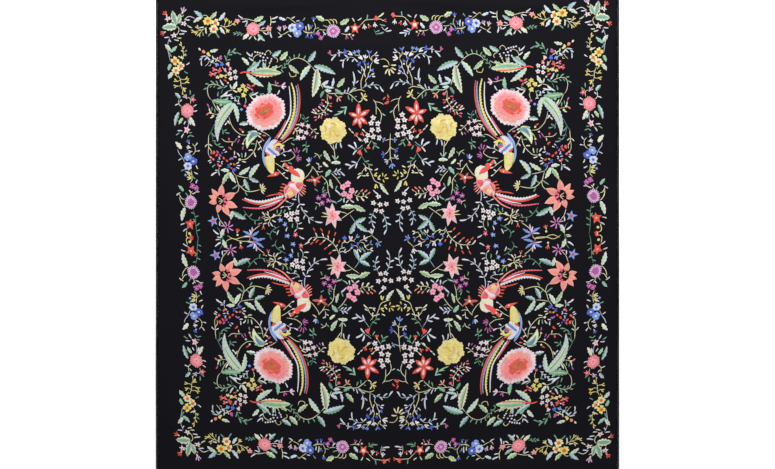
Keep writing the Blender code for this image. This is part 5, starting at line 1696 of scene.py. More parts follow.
# worked once on each side where the upper and the lower field meet, turned over on the right
MIDDLE_ROW = (
    ("stems", "stem_cream", (1, (339, 256), (338.7, 253.2), (336.4, 248), (333.3, 243.7),
      (328.2, 239.6), (323.7, 237.6), (317, 237.2), (312, 237.5)),
     (0.9, (339.2, 254.4), (340, 252.6), (342.2, 251.4), (345.4, 252), (349.2, 250.4), (351.1, 247.6)),
     (0.8, (339.4, 252.6), (339.6, 249.8), (340.8, 248.4), (343.4, 247.9)), (0.9, (341.6, 245),
      (342.5, 243.1), (344.7, 242), (347.6, 242.7), (349.8, 240.9), (352.6, 240.6), (355.3, 242)),
     (0.7, (354, 240.4), (355.6, 238.6)), (0.8, (354, 245.3), (356.5, 246.1), (358.2, 248)),
      (0.9, (359.4, 241.8), (360.9, 240.4), (363.6, 239.4), (365.8, 237.6), (369, 236.6),
      (372.2, 235.6)), (0.8, (372.2, 235.6), (374.7, 238), (377.3, 239.9), (377.9, 242.2)),
     (0.7, (371.9, 233.4), (372.2, 235.6)),
     (0.9, (360, 242), (363.2, 242.7), (364.5, 244.3), (365.2, 245.9), (367.7, 245.2), (369.6, 244)),
     (0.8, (366.1, 248.2), (367.7, 249.8), (369.9, 249.4))),
    ("strokes", "scarlet", (315.1, 231.6, 312.9, 227.6, 1.5), (322.6, 231.9, 320.1, 228.3, 1.5),
     (328.3, 234.6, 329.2, 230.4, 1.5), (334.2, 236, 335.6, 232, 1.5), (338.4, 243, 339.8, 240, 1.5),
     (318.9, 239.8, 315.6, 242.9, 1.6), (313.5, 242, 310.4, 244.9, 1.5),
     (323.2, 242.3, 319.4, 244.8, 1.5), (327.9, 246.8, 324.1, 249.8, 1.5),
     (332, 251.6, 328.9, 254.6, 1.5)),
    ("strokes", "cream", (317.2, 237.4, 315.2, 232.6, 1.2), (323.6, 237.6, 322, 232.9, 1.2),
     (328.2, 240, 327.8, 235.2, 1.2), (332.6, 243.2, 334.1, 238.1, 1.2), (336, 247.3, 337.5, 244.4, 1.1),
     (317, 238, 313.3, 241, 1.3), (325.8, 239.6, 322.9, 242, 1.3), (331.9, 243.8, 328, 246.5, 1.2),
     (336.9, 250.3, 332.4, 250.8, 1.2), (312.2, 237.3, 308, 242, 1.4)),
    ("strokes", "snow", (350.2, 240.6, 349.1, 235.8, 1.7), (350.7, 240.5, 352.2, 236.1, 1.6),
     (351, 240.6, 353.2, 240.4, 1.2), (363.7, 239.2, 364.2, 235.2, 1.4), (364, 239.1, 367.6, 237.1, 1.3),
     (364.2, 239.4, 367.3, 241, 1.3), (371.6, 233.7, 368.1, 230.7, 1.4),
     (371.9, 233.3, 370.5, 228.5, 1.5), (372.2, 233.5, 373.2, 229, 1.4),
     (358.2, 248.6, 357.1, 252.8, 1.4), (358.7, 248.6, 361.2, 252.2, 1.4), (364.5, 244.6, 366, 248, 1.4),
     (369.9, 249.4, 372.7, 247.5, 1.3), (370.1, 249.8, 373.4, 250.9, 1.3)),
    ("strokes", "mist_white", (344.1, 251.5, 345.6, 248.9, 1.3), (343.4, 251.7, 346.4, 252.6, 1.3),
     (341.8, 248, 344.8, 247.4, 1.3)),
    ("strokes", "sky", (355.6, 238, 357.7, 233.9, 1.4), (356.1, 237.8, 359.7, 236.3, 1.3),
     (377.9, 242.4, 381.9, 241.4, 1.5), (378.1, 242.9, 380.7, 246.1, 1.4),
     (377.8, 243, 377.5, 247.5, 1.5), (377.2, 242.5, 375.8, 244.9, 1.3),
     (369.8, 243.8, 371.3, 240.2, 1.3), (370.2, 244, 372.8, 244.8, 1.3), (341.6, 247.8, 341.9, 245, 1.4)),
    ("strokes", "royal", (344.4, 240.4, 342.3, 237.2, 1.8), (344.5, 240.4, 344.4, 235.7, 2.1),
     (344.7, 240.4, 346.3, 236.9, 1.7), (351.9, 247.8, 351.2, 243.7, 1.9),
     (352.1, 247.6, 353.6, 244.8, 1.9), (356.3, 243.2, 359.5, 242.6, 1.7),
     (357.6, 242.4, 358.2, 245.6, 1.9)),
    ("strokes", "fern_leaf", (359.4, 246.4, 362.2, 250, 1.4), (362.2, 246.8, 365.7, 252.6, 1.7)),
    ("buds", "cream", (344.7, 241.2, 0.9), (351.8, 248, 0.8)),
)
print("plants on the middle lines:", count_rows(MIDDLE_PLANTS, MIDDLE_ROW), "rows")

# %% The areas that all four quarters have
# area name, its chart, its slot
AREAS = {
    "border_corner": (CORNER, "blush_floss"), "border_top_run": (TOP_RUN, "yellow_floss"),
    "border_side_run": (SIDE_RUN, "yellow_floss"), "corner_spray": (CORNER_SPRAY, "yellow_floss"),
    "grape_spray": (GRAPE_SPRAY, "yellow_floss"), "trefoil": (TREFOIL, "yellow_floss"),
    "tulip_plant": (TULIP_PLANT, "blue_floss"), "bird_twigs": (BIRD_TWIGS, "yellow_floss"),
    "rose_stems": (ROSE_STEMS, "yellow_floss"), "lily_spray": (LILY_SPRAY, "yellow_floss"),
    "star_spray": (STAR_SPRAY, "blue_floss"),
}
print(len(AREAS), "areas on the chart")

# %% [markdown]
# ## The large flowers
# The chrysanthemum, the rose, the lilies and the border's roundels are padded higher than the rest. Each
# is rings of petals round a heart: the inner rings lie over the outer ones, so the shades step inwards.

# %% Rings of petals
def lay_ring(work, middle, petals, inner, outer, blend, lift, turn=0.0, tilt=0.0, fill=1.1,
             lobe=4.2, uneven=0.04, shape="scallop"):
    """One ring of petals between two ovals, each given as half sizes along and across its tilt.
    The ring bulges by a share of its reach once in every few petals, which make one lobe."""
    lean = math.radians(tilt)
    for i in range(petals):
        angle = math.radians(turn + 360 * i / petals)
        gap = 2 * math.pi * math.hypot(outer[0] * math.cos(angle), outer[1] * math.sin(angle)) / petals
        reach = 1 + uneven * math.cos(2 * math.pi * (i + 0.3 * math.sin(i)) / lobe)
        ends = []
        for half_long, half_wide in (inner, (outer[0] * reach, outer[1] * reach)):
            along, aside = half_long * math.sin(angle), half_wide * math.cos(angle)
            ends.append(middle[0] + along * math.cos(lean) + aside * math.sin(lean))
            ends.append(middle[1] + along * math.sin(lean) - aside * math.cos(lean))
        work.leaf(*ends, gap * fill, blend, shape=shape, lift=lift)


# columns: petals, middle across, middle down, inner half sizes, outer half sizes, blend, layer, turn,
# tilt (degrees), fill, petals in a lobe, how uneven
CHRYSANTHEMUM = (
    (33, 265.9, 112.1, (12.0, 10.0), (20.6, 17.9), "rim_blush", 0.0, 0, -30, 1.12, 4.1, 0.035),
    (30, 266.3, 111.4, (10.0, 8.0), (17.0, 14.4), "shell_pink", 1.0, 5, -30, 1.2, 3.5, 0.06),
    (26, 267.4, 113.4, (10.0, 8.0), (14.8, 12.6), "peach_pink", 1.8, 3, -30, 1.15, 2.6, 0.07),
    (24, 266.8, 110.9, (8.0, 6.0), (14.2, 11.2), "coral_pink", 2.4, 2, -28, 1.15, 3.4, 0.07),
    (19, 265.6, 111.2, (6.0, 4.0), (12.0, 9.0), "flush", 3.0, 9, -28, 1.15, 2.5, 0.08),
    (15, 264.5, 111.3, (3.0, 2.0), (9.8, 7.6), "scarlet", 3.8, 8, -27, 1.3, 2.6, 0.11),
    (9, 264.2, 111.4, (0.6, 0.4), (5.6, 3.4), "umber_pale", 4.3, 8, -27, 0.9, 2.4, 0.12),
)
ROSE = (
    (11, 333.1, 130.7, (6.0, 6.0), (11.5, 11.3), "rose_mid", 0.0, 14, 0, 1.25, 3.0, 0.03),
    (33, 333.1, 130.6, (9.3, 9.3), (13.0, 12.9), "rose_rim", 0.3, 14, 0, 1.05, 4.1, 0.075),
    (13, 333.3, 130.2, (5.0, 5.0), (10.9, 10.6), "rose_mid", 0.9, 24, 0, 1.2, 2.2, 0.06),
    (9, 333.6, 129.6, (3.0, 2.6), (9.0, 8.2), "rose_rim", 1.5, 10, -20, 1.25, 2.2, 0.08),
    (9, 333.4, 131.4, (0.4, 0.3), (6.8, 6.2), "rose_deep", 2.2, 30, -20, 1.3, 3.0, 0.08),
)
# the curled petals in the rose's heart, columns: blend, width, layer, points on the way
ROSE_SWIRL = (
    ("cream", 1.9, 3.0, (333.4, 125.8), (330.4, 126.6), (328.0, 129.4), (327.7, 134.0)),
    ("honey", 2.0, 3.0, (332, 127.8), (330.6, 130.8), (330, 134.4), (330.4, 138.6)),
    ("gold", 1.8, 3.1, (324, 125.6), (326.2, 128.4), (325.4, 132.6)),
    ("gold", 2.0, 3.2, (331, 123.4), (334, 123.6), (337, 125.6)),
    ("honey", 2.2, 3.3, (334.6, 133), (337.2, 135.4), (341.4, 134.6)),
    ("gold", 1.8, 3.1, (334, 130), (335, 132.8), (333.2, 136)),
    ("yellow", 2.2, 3.0, (323.6, 134.6), (326.4, 137.6), (329.4, 138.8)),
    ("butter", 1.8, 3.2, (338.2, 127), (340.4, 130), (338.4, 132.6)),
    ("yellow", 1.8, 3.4, (335.4, 126.4), (338, 129), (336.6, 131.8)),
    ("butter", 1.6, 3.5, (331.8, 132.2), (333.4, 134), (332.8, 136.4)),
)
PINK_ROUNDEL = (
    (19, 0.0, 0.0, (2.6, 2.6), (6.8, 6.6), "flush", 0.0, 10, 0, 0.94, 3, 0.06),
    (12, 0.1, 0.1, (1.4, 1.4), (4.9, 4.8), "flush", 0.8, 32, 0, 1.0, 3, 0.08),
    (7, 0.2, -0.1, (0.8, 0.8), (3.4, 3.0), "pink_bloom", 1.6, 0, 0, 0.8, 2.4, 0.16),
    (4, 0.2, -0.1, (0.1, 0.1), (1.3, 1.2), "coral", 2.4, 20, 0, 1.2, 2, 0.04),
)
PURPLE_ROUNDEL = (
    (19, 0.0, 0.0, (3.0, 3.0), (6.9, 6.8), "violet_rim", 0.0, 4, 0, 0.78, 4.2, 0.05),
    (13, 0.1, 0.0, (2.0, 2.0), (4.9, 4.6), "lilac", 0.7, 14, 0, 1.0, 3, 0.08),
    (9, 0.1, 0.1, (0.8, 0.8), (4.1, 3.7), "magenta", 1.4, 0, 0, 1.1, 2.2, 0.12),
    (6, 0.1, 0.0, (0.5, 0.5), (2.2, 2.0), "magenta_pale", 2.0, 10, 0, 0.8, 2, 0.1),
    (4, 0.1, 0.0, (0.1, 0.1), (1.0, 0.9), "cream", 2.6, 20, 0, 1.0, 3, 0.04),
)
# the one at the side has a deeper heart
PURPLE_DEEP = PURPLE_ROUNDEL[:2] + (
    (9, 0.1, 0.1, (0.8, 0.8), (4.1, 3.7), "orchid", 1.4, 0, 0, 1.1, 2.2, 0.12),
    (5, 0.1, 0.0, (0.3, 0.3), (2.2, 1.8), "magenta", 2.0, 10, 0, 0.5, 2, 0.1),
)


def ring_flower(rings, middle=(0.0, 0.0), size=(1.0, 1.0)):
    """A flower built ring by ring, its size given across and down."""
    work = Stitching()
    for petals, across, down, inner, outer, blend, lift, turn, tilt, fill, lobe, uneven in rings:
        lay_ring(work, (across + middle[0], down + middle[1]), petals,
                 (inner[0] * size[0], inner[1] * size[1]), (outer[0] * size[0], outer[1] * size[1]),
                 blend, lift, turn, tilt, fill, lobe, uneven)
    return work


print("petals in the chrysanthemum's rings:", [row[0] for row in CHRYSANTHEMUM])

# %% The chrysanthemum's core, and the rose
# columns: blend, width, layer, points on the way
CHRYSANTHEMUM_CURLS = (
    ("brick", 1.3, 5.0, (256.8, 112.6), (259.6, 109.4), (264.4, 107.6)),
    ("brick", 1.1, 5.0, (265.6, 106), (269, 106), (271.8, 108)),
    ("salmon", 1.2, 5.0, (260.4, 107.2), (263, 106), (266, 105.2)),
    ("umber", 2.0, 5.2, (259.8, 114.6), (263.4, 113.8), (267, 113.2), (268.4, 112.2)),
    ("umber_pale", 2.8, 5.3, (263.4, 112.4), (267.2, 111.6), (271.2, 109.4)),
    ("salmon", 1.3, 5.0, (258, 114.6), (260, 117), (264, 117.6)),
    ("brick", 1.1, 5.0, (262, 116), (266, 115.8), (269.6, 114)),
)
chrysanthemum = ring_flower(CHRYSANTHEMUM)
chrysanthemum.leaf(264.4, 116.4, 264.4, 106.4, 13.0, "scarlet", shape="round", lift=3.8)
rose = ring_flower(ROSE)
for flower, curls in ((chrysanthemum, CHRYSANTHEMUM_CURLS), (rose, ROSE_SWIRL)):
    for blend, width, lift, *route in curls:
        flower.lay(route, width, blend, "leaf", lift)
print("chrysanthemum and rose:", len(chrysanthemum.rows["petal"]), len(rose.rows["petal"]), "petals")

# %% Flowers with pointed petals, drawn petal by petal
# columns: tip across, tip down, width
STAR_TIPS = (
    (358.5, 103.2, 5.0), (369.6, 110.0, 4.8), (367.4, 124.1, 4.6), (360.7, 128.4, 4.2),
    (352.7, 125.6, 4.6), (348.6, 113.2, 4.4),
)
CORAL_LILY_TIPS = (
    (221.8, 184.2, 6.4), (235.4, 192.9, 7.2), (237.4, 207.4, 7.0), (229.4, 216.1, 6.2), (217.5, 213, 5.6),
    (208.9, 202.7, 5.6), (208.9, 195.7, 5.0), (211.7, 188.8, 5.2),
)
PINK_LILY_TIPS = (
    (332.2, 203.4, 5.6), (340.8, 211.2, 5.8), (341.6, 220.4, 5.8), (335.5, 228.2, 5.4),
    (325.8, 225.3, 5.8), (325.2, 207, 5.6),
)
SMALL_STAR_TIPS = (
    (321.4, 176.2, 2.6), (320.2, 182.2, 2.4), (315.4, 186.4, 2.6), (306, 180.4, 2.8), (311, 175.6, 2.2),
)


# half the size of a pointed flower's heart, in squares
HEART_HALF = 1.3


def pointed_flower(middle, tips, blend, vein, vein_share, vein_width, heart=None, start=0.0,
                   shape="leaf", vein_start=0.1):
    """Petals from a heart to their tips, each with a vein laid over it."""
    work = Stitching()
    for across, down, width in tips:
        way = (across - middle[0], down - middle[1])
        base = (middle[0] + way[0] * start, middle[1] + way[1] * start)
        work.leaf(*base, across, down, width, blend, shape=shape, lift=0.4)
        inner = start + vein_start * (1 - start)
        near = (middle[0] + way[0] * inner, middle[1] + way[1] * inner)
        end = (middle[0] + way[0] * vein_share, middle[1] + way[1] * vein_share)
        work.leaf(*near, *end, vein_width, vein, shape="stroke", lift=1.8)
    if heart:
        lay_bud(work, heart, *middle, HEART_HALF, 2.8)
    return work


star_flower = pointed_flower((358.6, 116.7), STAR_TIPS, "scarlet", "white", 0.66, 2.1, "scarlet",
                             vein_start=0.2)
coral_lily = pointed_flower((220.6, 200.8), CORAL_LILY_TIPS, "coral_tip", "salmon", 0.7, 1.3, start=0.36,
                            shape="point")
for start, end, width in (
    ((224.9, 193.2), (222.6, 197.2), 2.2), ((227, 196.6), (224.4, 199.4), 2.4),
    ((227.4, 203), (223.8, 201.4), 2.4), ((225, 208), (223.4, 204.2), 2.2), ((224.2, 201.6), (224, 198), 1.8),
):
    coral_lily.leaf(*end, *start, width, "rose", lift=1.6)
for end in ((218.2, 197.8), (218.6, 201.4), (219.6, 204.6)):
    coral_lily.stroke(223, 201.2, *end, "knob", 0.8, 1.2)
pink_lily = pointed_flower((332.5, 215.6), PINK_LILY_TIPS, "lily_pink", "flush", 0.44, 1.8, "rose",
                           shape="point", vein_start=0.06)
for end in ((321.8, 212.3), (321.2, 216.5)):
    pink_lily.stem("butter", 0.9, (330, 215.4), (326, (215.4 + end[1]) / 2 + 0.5), end)
red_star = pointed_flower((314.6, 180.3), SMALL_STAR_TIPS, "brick_star", "brick", 0.5, 1.0, "white")
print("petals of the pointed flowers:", len(STAR_TIPS), len(CORAL_LILY_TIPS), len(PINK_LILY_TIPS))

# %% [markdown]
# ## The great leaf
# One leaf on each side of the chrysanthemum is larger than the flowers. It is worked in two halves to a
# dark vein: a pale edge, a lime body, and stitches that slant to its long drawn-out tip.

# %% The great curved leaf
GREAT_LEAF = Stitching()
GREAT_ROUTE = ((233.3, 103.3), (228, 108.4), (222.6, 115.6), (218.8, 124), (217.2, 133), (217.8, 141.4))
GREAT_LEAF.lay(GREAT_ROUTE, 11.0, "great_leaf", "sickle", 0.2, "broad", (0.16, 0.2))
GREAT_LEAF.lay(GREAT_ROUTE[:-1], 7.0, "great_body", "sickle", 1.4, "broad", (0.2, 0.2))
GREAT_LEAF.stem("stem_fern", 1.3, (231.4, 105.8), (226.2, 111.4), (220.8, 119), (217.6, 127), lift=2.6)
HOOK_ROUTE = ((258, 134.2), (253.6, 134.4), (250.2, 138), (248, 142.6), (247, 148.4))
GREAT_LEAF.lay(HOOK_ROUTE, 8.8, "lime_leaf", "sickle", 0.2, "broad", (0.1, 0.1))
GREAT_LEAF.lay(HOOK_ROUTE[:-1], 4.8, "slate_leaf", "sickle", 1.2, "broad")
print("great leaf and its hook:", len(GREAT_LEAF.rows["broad"]), "layers")

# %% [markdown]
# ## The birds
# Each bird is worked in bands of feathers that overlap from head to tail. The streaming tail feathers
# are long satin bands with one stepped edge, which the padding grid gets from its notch values.

# %% The blue bird
BLUE_BIRD = Stitching()
# columns: blend, width, shape, layer, points on the way
BLUE_BIRD_BANDS = (
    ("white", 8.6, "round", 0.3, (276.4, 140.2), (272, 146), (270.2, 151), (270.6, 158.6)),
    ("white", 4.6, "round", 0.4, (272.6, 151.4), (276.4, 153.4), (279.6, 154.6)),
    ("butter", 9.6, "band", 0.7, (269.4, 156.2), (269.5, 160.5), (270, 164.6)),
    ("butter", 7.8, "leaf", 0.9, (269.6, 159.6), (270.3, 166), (271.4, 170), (272.8, 174.4)),
    ("yellow", 1.9, "band", 1.4, (273.5, 157.4), (273.5, 164), (273.4, 171.4)),
    ("yellow", 2.2, "leaf", 1.4, (265.6, 156.4), (266.2, 162), (267.8, 167.4), (270.4, 171.6)),
    ("cream_rose", 2.6, "leaf", 1.5, (270, 157.4), (270.6, 163), (271.8, 170)),
    ("back_sky", 3.1, "leaf", 1.2, (270.9, 136.8), (267.8, 142.3), (264.6, 147.6), (263.6, 152.6)),
    ("back_sky", 2.1, "leaf", 1.1, (264.7, 146.6), (263.4, 152), (263.5, 158.3), (264.7, 164), (266.4, 168)),
    ("ice_white", 1.7, "band", 1.3, (277.8, 140.4), (272.9, 140.6), (269.6, 144), (267, 147.4),
     (265.5, 152)),
    ("scarlet", 1.7, "leaf", 1.8, (281.4, 141.4), (278.4, 142.2), (274.6, 143.8)),
    ("rose", 0.9, "leaf", 2.0, (276.2, 143.4), (274.4, 144.8), (272.6, 145.7)),
    ("yellow", 2.7, "band", 1.7, (273.4, 148.7), (275.1, 145.8), (278.8, 144.2), (281.6, 145.8),
     (281.3, 149.2)),
    ("pale_yellow", 2.0, "round", 2.0, (281.8, 145.6), (283.4, 145.8), (284.4, 145.8)),
    ("violet_blue", 1.4, "band", 2.3, (275.9, 148.3), (277.6, 147.4), (279.2, 148.6), (280.8, 150.6)),
    ("scarlet", 2.0, "leaf", 2.6, (274.8, 149.6), (277.6, 150), (279.8, 152.2)),
    ("slate_sky", 2.5, "band", 2.0, (267.6, 148), (270.2, 149.8), (273.3, 152.8), (277.2, 155.4)),
    ("white", 1.7, "leaf", 2.5, (273.1, 150), (275.8, 151.5), (278.2, 153.4), (279.3, 154.6)),
    ("scarlet", 2.1, "band", 2.0, (266.1, 152.7), (267.4, 154), (269.7, 155.5)),
    ("snow", 3.0, "round", 1.8, (272.6, 155.4), (274.2, 156.6), (275.4, 157.6)),
    ("scarlet", 4.3, "wedge", 1.4, (276.6, 173.6), (272.8, 175), (267, 176.6)),
    ("scarlet", 3.8, "leaf", 1.5, (273.2, 175), (276, 174), (279.8, 172.8)),
)
for blend, width, shape, lift, *route in BLUE_BIRD_BANDS:
    BLUE_BIRD.lay(route, width, blend, shape, lift)
lay_bud(BLUE_BIRD, "white", 275.4, 174.5, 0.8, 3.0)
for across, down, reach in ((268.4, 158.4, 4), (271.6, 159.4, 4), (269, 164, 4), (271.8, 165, 4)):
    BLUE_BIRD.stroke(across, down, across + 0.6, down + reach, "straw_leaf", 0.9, 2.0)
print("blue bird:", len(BLUE_BIRD.rows["petal"]), "bands of feathers")

# %% The blue bird's tail
BLUE_TAIL = Stitching()
# columns: blend, width, layer, left and right notch, points on the way
BLUE_TAIL_BANDS = (
    ("white", 1.5, 0.3, (0, 0),
     (277.2, 138.6), (281.2, 133.2), (285, 126.3), (289.2, 117.9), (290.7, 111), (290.6, 99.5),
     (289.1, 86.2)),
    ("yellow", 2.8, 0.5, (0.7, 0, 3.4),
     (280.6, 139.2), (286.6, 131.5), (290.9, 121.9), (293.8, 112.3), (294.6, 102.8), (293.9, 92),
     (291.2, 82.9)),
    ("back_sky", 2.1, 0.7, (0.7, 0, 3.4),
     (281.9, 139.6), (288.2, 131.6), (293.5, 121.9), (296.3, 112.3), (297.6, 102.8), (297.2, 92),
     (295.8, 85.4)),
    ("scarlet", 1.8, 0.9, (0, 0),
     (281.4, 141.6), (290.2, 132), (295.7, 121.9), (298.5, 112.3), (299.7, 102.8), (299.4, 93),
     (297.7, 84.4)),
    ("red_pink", 1.4, 1.0, (0, 0), (274.6, 139), (279.2, 133.2), (282.9, 127), (285.9, 120.2)),
)
for blend, width, lift, notch, *route in BLUE_TAIL_BANDS:
    BLUE_TAIL.lay(route, width, blend, "feather", lift, "feather", notch)
print("blue bird's tail:", len(BLUE_TAIL_BANDS), "long feathers")

# %% The red bird
RED_BIRD = Stitching()
# columns: blend, width, shape, layer, points on the way
RED_BIRD_BANDS = (
    ("shell_pink", 12.6, "round", 0.3, (302.6, 180.6), (297, 185.6), (291.4, 190.4), (285.4, 197.6)),
    ("cream_rose", 13.4, "round", 0.9, (297.6, 168.4), (297.8, 175.4), (297.6, 183.6)),
    ("cream_rose", 8.0, "round", 1.0, (291, 178.6), (297.4, 179.6), (303.6, 179.4)),
    ("white", 1.9, "leaf", 1.7, (293.4, 168.8), (297.6, 171), (299.8, 174), (301, 177.6)),
    ("white", 1.5, "leaf", 1.7, (291.6, 173.6), (293.8, 177), (298.8, 178.4)),
    ("scarlet", 2.9, "leaf", 2.0, (284.6, 162.6), (287.2, 166.6), (290.4, 169.8)),
    ("scarlet", 4.6, "leaf", 2.1, (286.2, 165.4), (290.4, 169.6), (294.4, 173.2), (300.2, 177.4)),
    ("scarlet", 2.2, "leaf", 2.2, (288.8, 167.4), (291, 167), (293.6, 168.2)),
    ("rose", 1.9, "leaf", 2.8, (294.4, 170.2), (297.4, 173), (300.4, 177)),
    ("rose", 1.7, "leaf", 1.7, (287.6, 184.6), (290.6, 182.2), (295.4, 182.4)),
    ("rose", 2.2, "leaf", 1.7, (289.8, 185.2), (287, 188.8), (284.8, 194.4)),
    ("salmon", 1.6, "leaf", 1.6, (286.8, 184.8), (284.8, 188.6), (284.2, 193.6)),
    ("white", 3.0, "band", 1.8, (289, 185.4), (292.8, 185.6), (295.4, 187.8), (298.8, 190.4)),
    ("white", 3.0, "round", 1.9, (296.4, 189.6), (298, 190.6), (299.2, 191.2)),
    ("peach", 2.6, "leaf", 1.8, (292, 187.4), (290.2, 189.6), (288.8, 192.4)),
    ("rose", 4.4, "band", 2.1, (296.2, 184), (299, 184.6), (302, 184.4)),
    ("scarlet", 4.0, "leaf", 2.3, (297, 184.6), (298.2, 187), (299.4, 189.4)),
    ("salmon", 3.8, "round", 2.2, (292.4, 190), (294.4, 191.2), (296.4, 192.8)),
    ("butter", 5.0, "round", 2.4, (292.6, 192), (290.4, 193.8), (287.8, 195.4)),
    ("scarlet", 2.3, "leaf", 2.8, (287.4, 194.4), (288, 196.8), (289.6, 198.2)),
)
for blend, width, shape, lift, *route in RED_BIRD_BANDS:
    RED_BIRD.lay(route, width, blend, shape, lift)
RED_BIRD.leaf(288.3, 166.8, 288.3, 168.4, 1.7, "white", shape="round", lift=3.4)
# columns: blend, base across, base down, tip across, tip down, width
RED_BIRD_STROKES = (
    ("salmon", 301.8, 183.8, 306.2, 186.2, 1.3), ("salmon", 301.2, 186, 305.9, 189.3, 1.3),
    ("salmon", 300.6, 187.4, 306.2, 192.4, 1.3), ("salmon", 299.6, 189.1, 305, 194.6, 1.4),
    ("salmon", 298.6, 191.2, 302.8, 196.4, 1.4), ("scarlet", 286.6, 185.5, 281.7, 184, 1.5),
    ("scarlet", 285.2, 188.3, 280, 187.2, 1.5), ("scarlet", 284, 191.2, 279.4, 190.6, 1.5),
    ("scarlet", 283.8, 194.4, 277.4, 193, 1.5), ("scarlet", 284.4, 194.6, 266, 196.6, 1.3),
    ("mist_white", 296.8, 193, 295.7, 198.2, 1.0), ("mist_white", 299, 192.6, 299.4, 203.6, 1.0),
)
for blend, across, down, tip_across, tip_down, width in RED_BIRD_STROKES:
    RED_BIRD.stroke(across, down, tip_across, tip_down, blend, width, 0.8)
for down in (173.5, 176.4, 179.6):
    for across in (292.4, 295, 300.4, 302.4):
        RED_BIRD.stroke(across, down + 1, across + 0.4, down + 3, "straw_leaf", 0.8, 1.5)
print("red bird:", len(RED_BIRD.rows["petal"]), "bands of feathers")

# %% The red bird's tail
RED_TAIL = Stitching()
# columns: blend, width, layer, left and right notch, points on the way
RED_TAIL_BANDS = (
    ("scarlet", 2.4, 0.4, (0, 0),
     (284, 196.8), (271.3, 201.6), (260.2, 203.9), (251.3, 202.6), (242.2, 199.3)),
    ("white", 3.0, 0.9, (0, 0.95, 3.1),
     (284, 195.6), (271, 199.8), (260, 201.6), (251, 200.4), (244.6, 198.2)),
    ("white", 1.2, 1.2, (0, 0), (280.6, 200), (269.1, 204.4), (264, 205.6), (259.4, 206.7)),
    ("rose", 2.1, 0.7, (0.9, 0, 3.0), (283, 199), (274, 204.4), (264.6, 208), (254.7, 208.6), (242.8, 207.5)),
    ("salmon", 1.4, 0.9, (0, 0), (287, 197.6), (282.4, 202.2), (276.9, 207.2), (269.4, 210.9)),
)
for blend, width, lift, notch, *route in RED_TAIL_BANDS:
    RED_TAIL.lay(route, width, blend, "feather", lift, "feather", notch)
print("red bird's tail:", len(RED_TAIL_BANDS), "long feathers")

# %% [markdown]
# ## Working the four quarters
# The worker pricks the chart once and turns the paper over for the next quarter. We lay every piece of
# it four times, and each large motif takes the place of its measured solid.

# %% Stitch everything
# columns: motif name, its stitching, its slot
MOTIFS = (
    ("chrysanthemum", chrysanthemum, "blush_floss"),
    ("yellow_rose", rose, "yellow_floss"),
    ("star_flower", star_flower, "red_floss"),
    ("coral_lily", coral_lily, "coral_floss"),
    ("pink_lily", pink_lily, "pink_floss"),
    ("pink_roundel_side", ring_flower(PINK_ROUNDEL, (187.3, 110.8), (0.94, 1.07)), "coral_floss"),
    ("pink_roundel_end", ring_flower(PINK_ROUNDEL, (253.1, 29.1)), "coral_floss"),
    ("purple_roundel_side", ring_flower(PURPLE_DEEP, (190.8, 202.3), (0.88, 1.02)), "violet_floss"),
    ("purple_roundel_end", ring_flower(PURPLE_ROUNDEL, (333.2, 31.1)), "violet_floss"),
    ("blue_bird", BLUE_BIRD, "blue_floss"),
    ("blue_bird_tail", BLUE_TAIL, "blue_floss"),
    ("red_bird", RED_BIRD, "red_floss"),
    ("red_bird_tail", RED_TAIL, "red_floss"),
)
# what stands on the shawl's own middle lines, with the quarters it is drawn in
ONCE = (
    ("middle_plants", MIDDLE_PLANTS, ("upper_left", "lower_left")),
    ("middle_row", MIDDLE_ROW, ("upper_left", "lower_right")),
    ("top_middle", TOP_MIDDLE, ("upper_left",)),
    ("bottom_middle", BOTTOM_MIDDLE, ("lower_left", "lower_right")),
)
stitched = []
for quarter in QUARTERS:
    for area, chart, drawn_in in ONCE:
        if quarter in drawn_in:
            piece = lay_on_cloth(f"{area}_{quarter}", work_area(chart), quarter)
            stitched.append(name_piece(piece, "blue_floss"))
    extra = [(area, work_area(chart), slot) for area, (chart, slot) in AREAS.items()]
    extra += [("small_red_star", red_star, "red_floss"), ("great_leaf", GREAT_LEAF, "yellow_floss")]
    for area, work, slot in extra:
        stitched.append(name_piece(lay_on_cloth(f"{area}_{quarter}", work, quarter), slot))
    for motif, work, slot in MOTIFS:
        piece = lay_on_cloth(f"stitched_{motif}_{quarter}", work, quarter)
        stitched.append(name_piece(piece, slot, f"{motif}_{quarter}"))
print("stitched", len(stitched), "pieces,", sum(len(o.data.polygons) for o in stitched), "faces")

# %% [markdown]
# ## Floor, light and camera
# The shawl is photographed from straight above on white. A wide soft light from beyond its top edge
# grazes the crepe, so the creases show, and the floor is bright enough to read as a plain white ground.

# %% The floor
FLOOR_HALF = 4.0
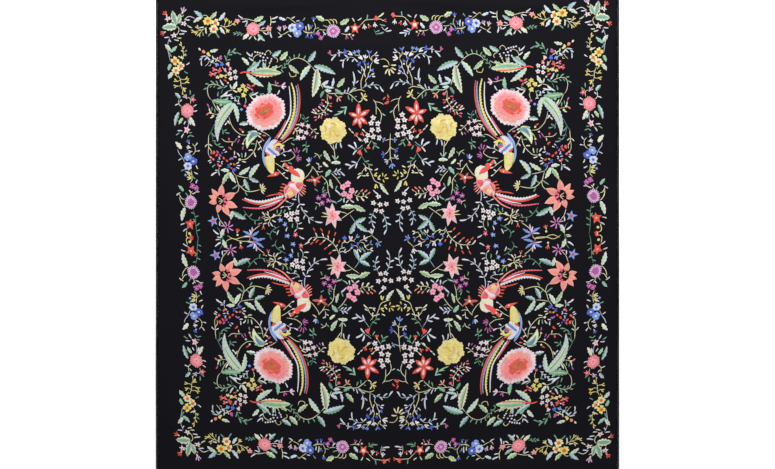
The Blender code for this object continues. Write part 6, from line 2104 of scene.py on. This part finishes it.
# the floor lies a hair under the cloth, so that the two faces don't flicker
FLOOR_DROP = 0.0005
draft = bmesh.new()
bmesh.ops.create_grid(draft, x_segments=1, y_segments=1, size=FLOOR_HALF)
bmesh.ops.translate(draft, verts=draft.verts, vec=(0, 0, -FLOOR_DROP))
white_floor = bpy.data.materials.new("white_floor")
white_floor.use_nodes = True
floor_shader = white_floor.node_tree.nodes["Principled BSDF"]
floor_shader.inputs["Base Color"].default_value = (0.92, 0.92, 0.92, 1)
floor_shader.inputs["Roughness"].default_value = 0.9
floor_shader.inputs["Specular IOR Level"].default_value = 0.1
floor = finish_mesh("floor", draft, white_floor)
print("floor", 2 * FLOOR_HALF, "m wide")

# %% Light and camera
# the photo's width and middle, in its own pixels, which are the chart's squares
PHOTO_WIDTH = 775
PHOTO_MIDDLE = (387.5, 234.5)
LENS = 85.0
SENSOR = 36.0
WORLD_LIGHT = 0.72
TOP_LIGHT = 150.0


def soft_light(name, spot, aim, size, power):
    """A large soft area light."""
    lamp = bpy.data.lights.new(name, "AREA")
    lamp.shape = "RECTANGLE"
    lamp.size, lamp.size_y = size
    lamp.energy = power
    holder = bpy.data.objects.new(name, lamp)
    holder.location = spot
    way = Vector(aim) - Vector(spot)
    holder.rotation_euler = way.to_track_quat("-Z", "Y").to_euler()
    bpy.context.scene.collection.objects.link(holder)
    return holder


soft_light("long_window", (0.2, 2.6, 2.6), (0, 0.5, 0), (3.6, 1.2), TOP_LIGHT)
world = bpy.data.worlds.new("white_room")
world.use_nodes = True
world.node_tree.nodes["Background"].inputs["Color"].default_value = (1, 1, 1, 1)
world.node_tree.nodes["Background"].inputs["Strength"].default_value = WORLD_LIGHT
bpy.context.scene.world = world
bpy.context.scene.view_settings.view_transform = "Standard"
view_width = PHOTO_WIDTH * SQUARE
camera_data = bpy.data.cameras.new("straight_above")
camera_data.lens = LENS
camera_data.sensor_width = SENSOR
camera_data.clip_end = 50
camera = bpy.data.objects.new("straight_above", camera_data)
camera.location = ((PHOTO_MIDDLE[0] - CLOTH_MIDDLE[0]) * SQUARE, 0, view_width * LENS / SENSOR)
bpy.context.scene.collection.objects.link(camera)
bpy.context.scene.camera = camera
print("camera", round(camera.location.z, 3), "m above the floor")

# %% Bring the scene up to date
bpy.context.view_layer.update()
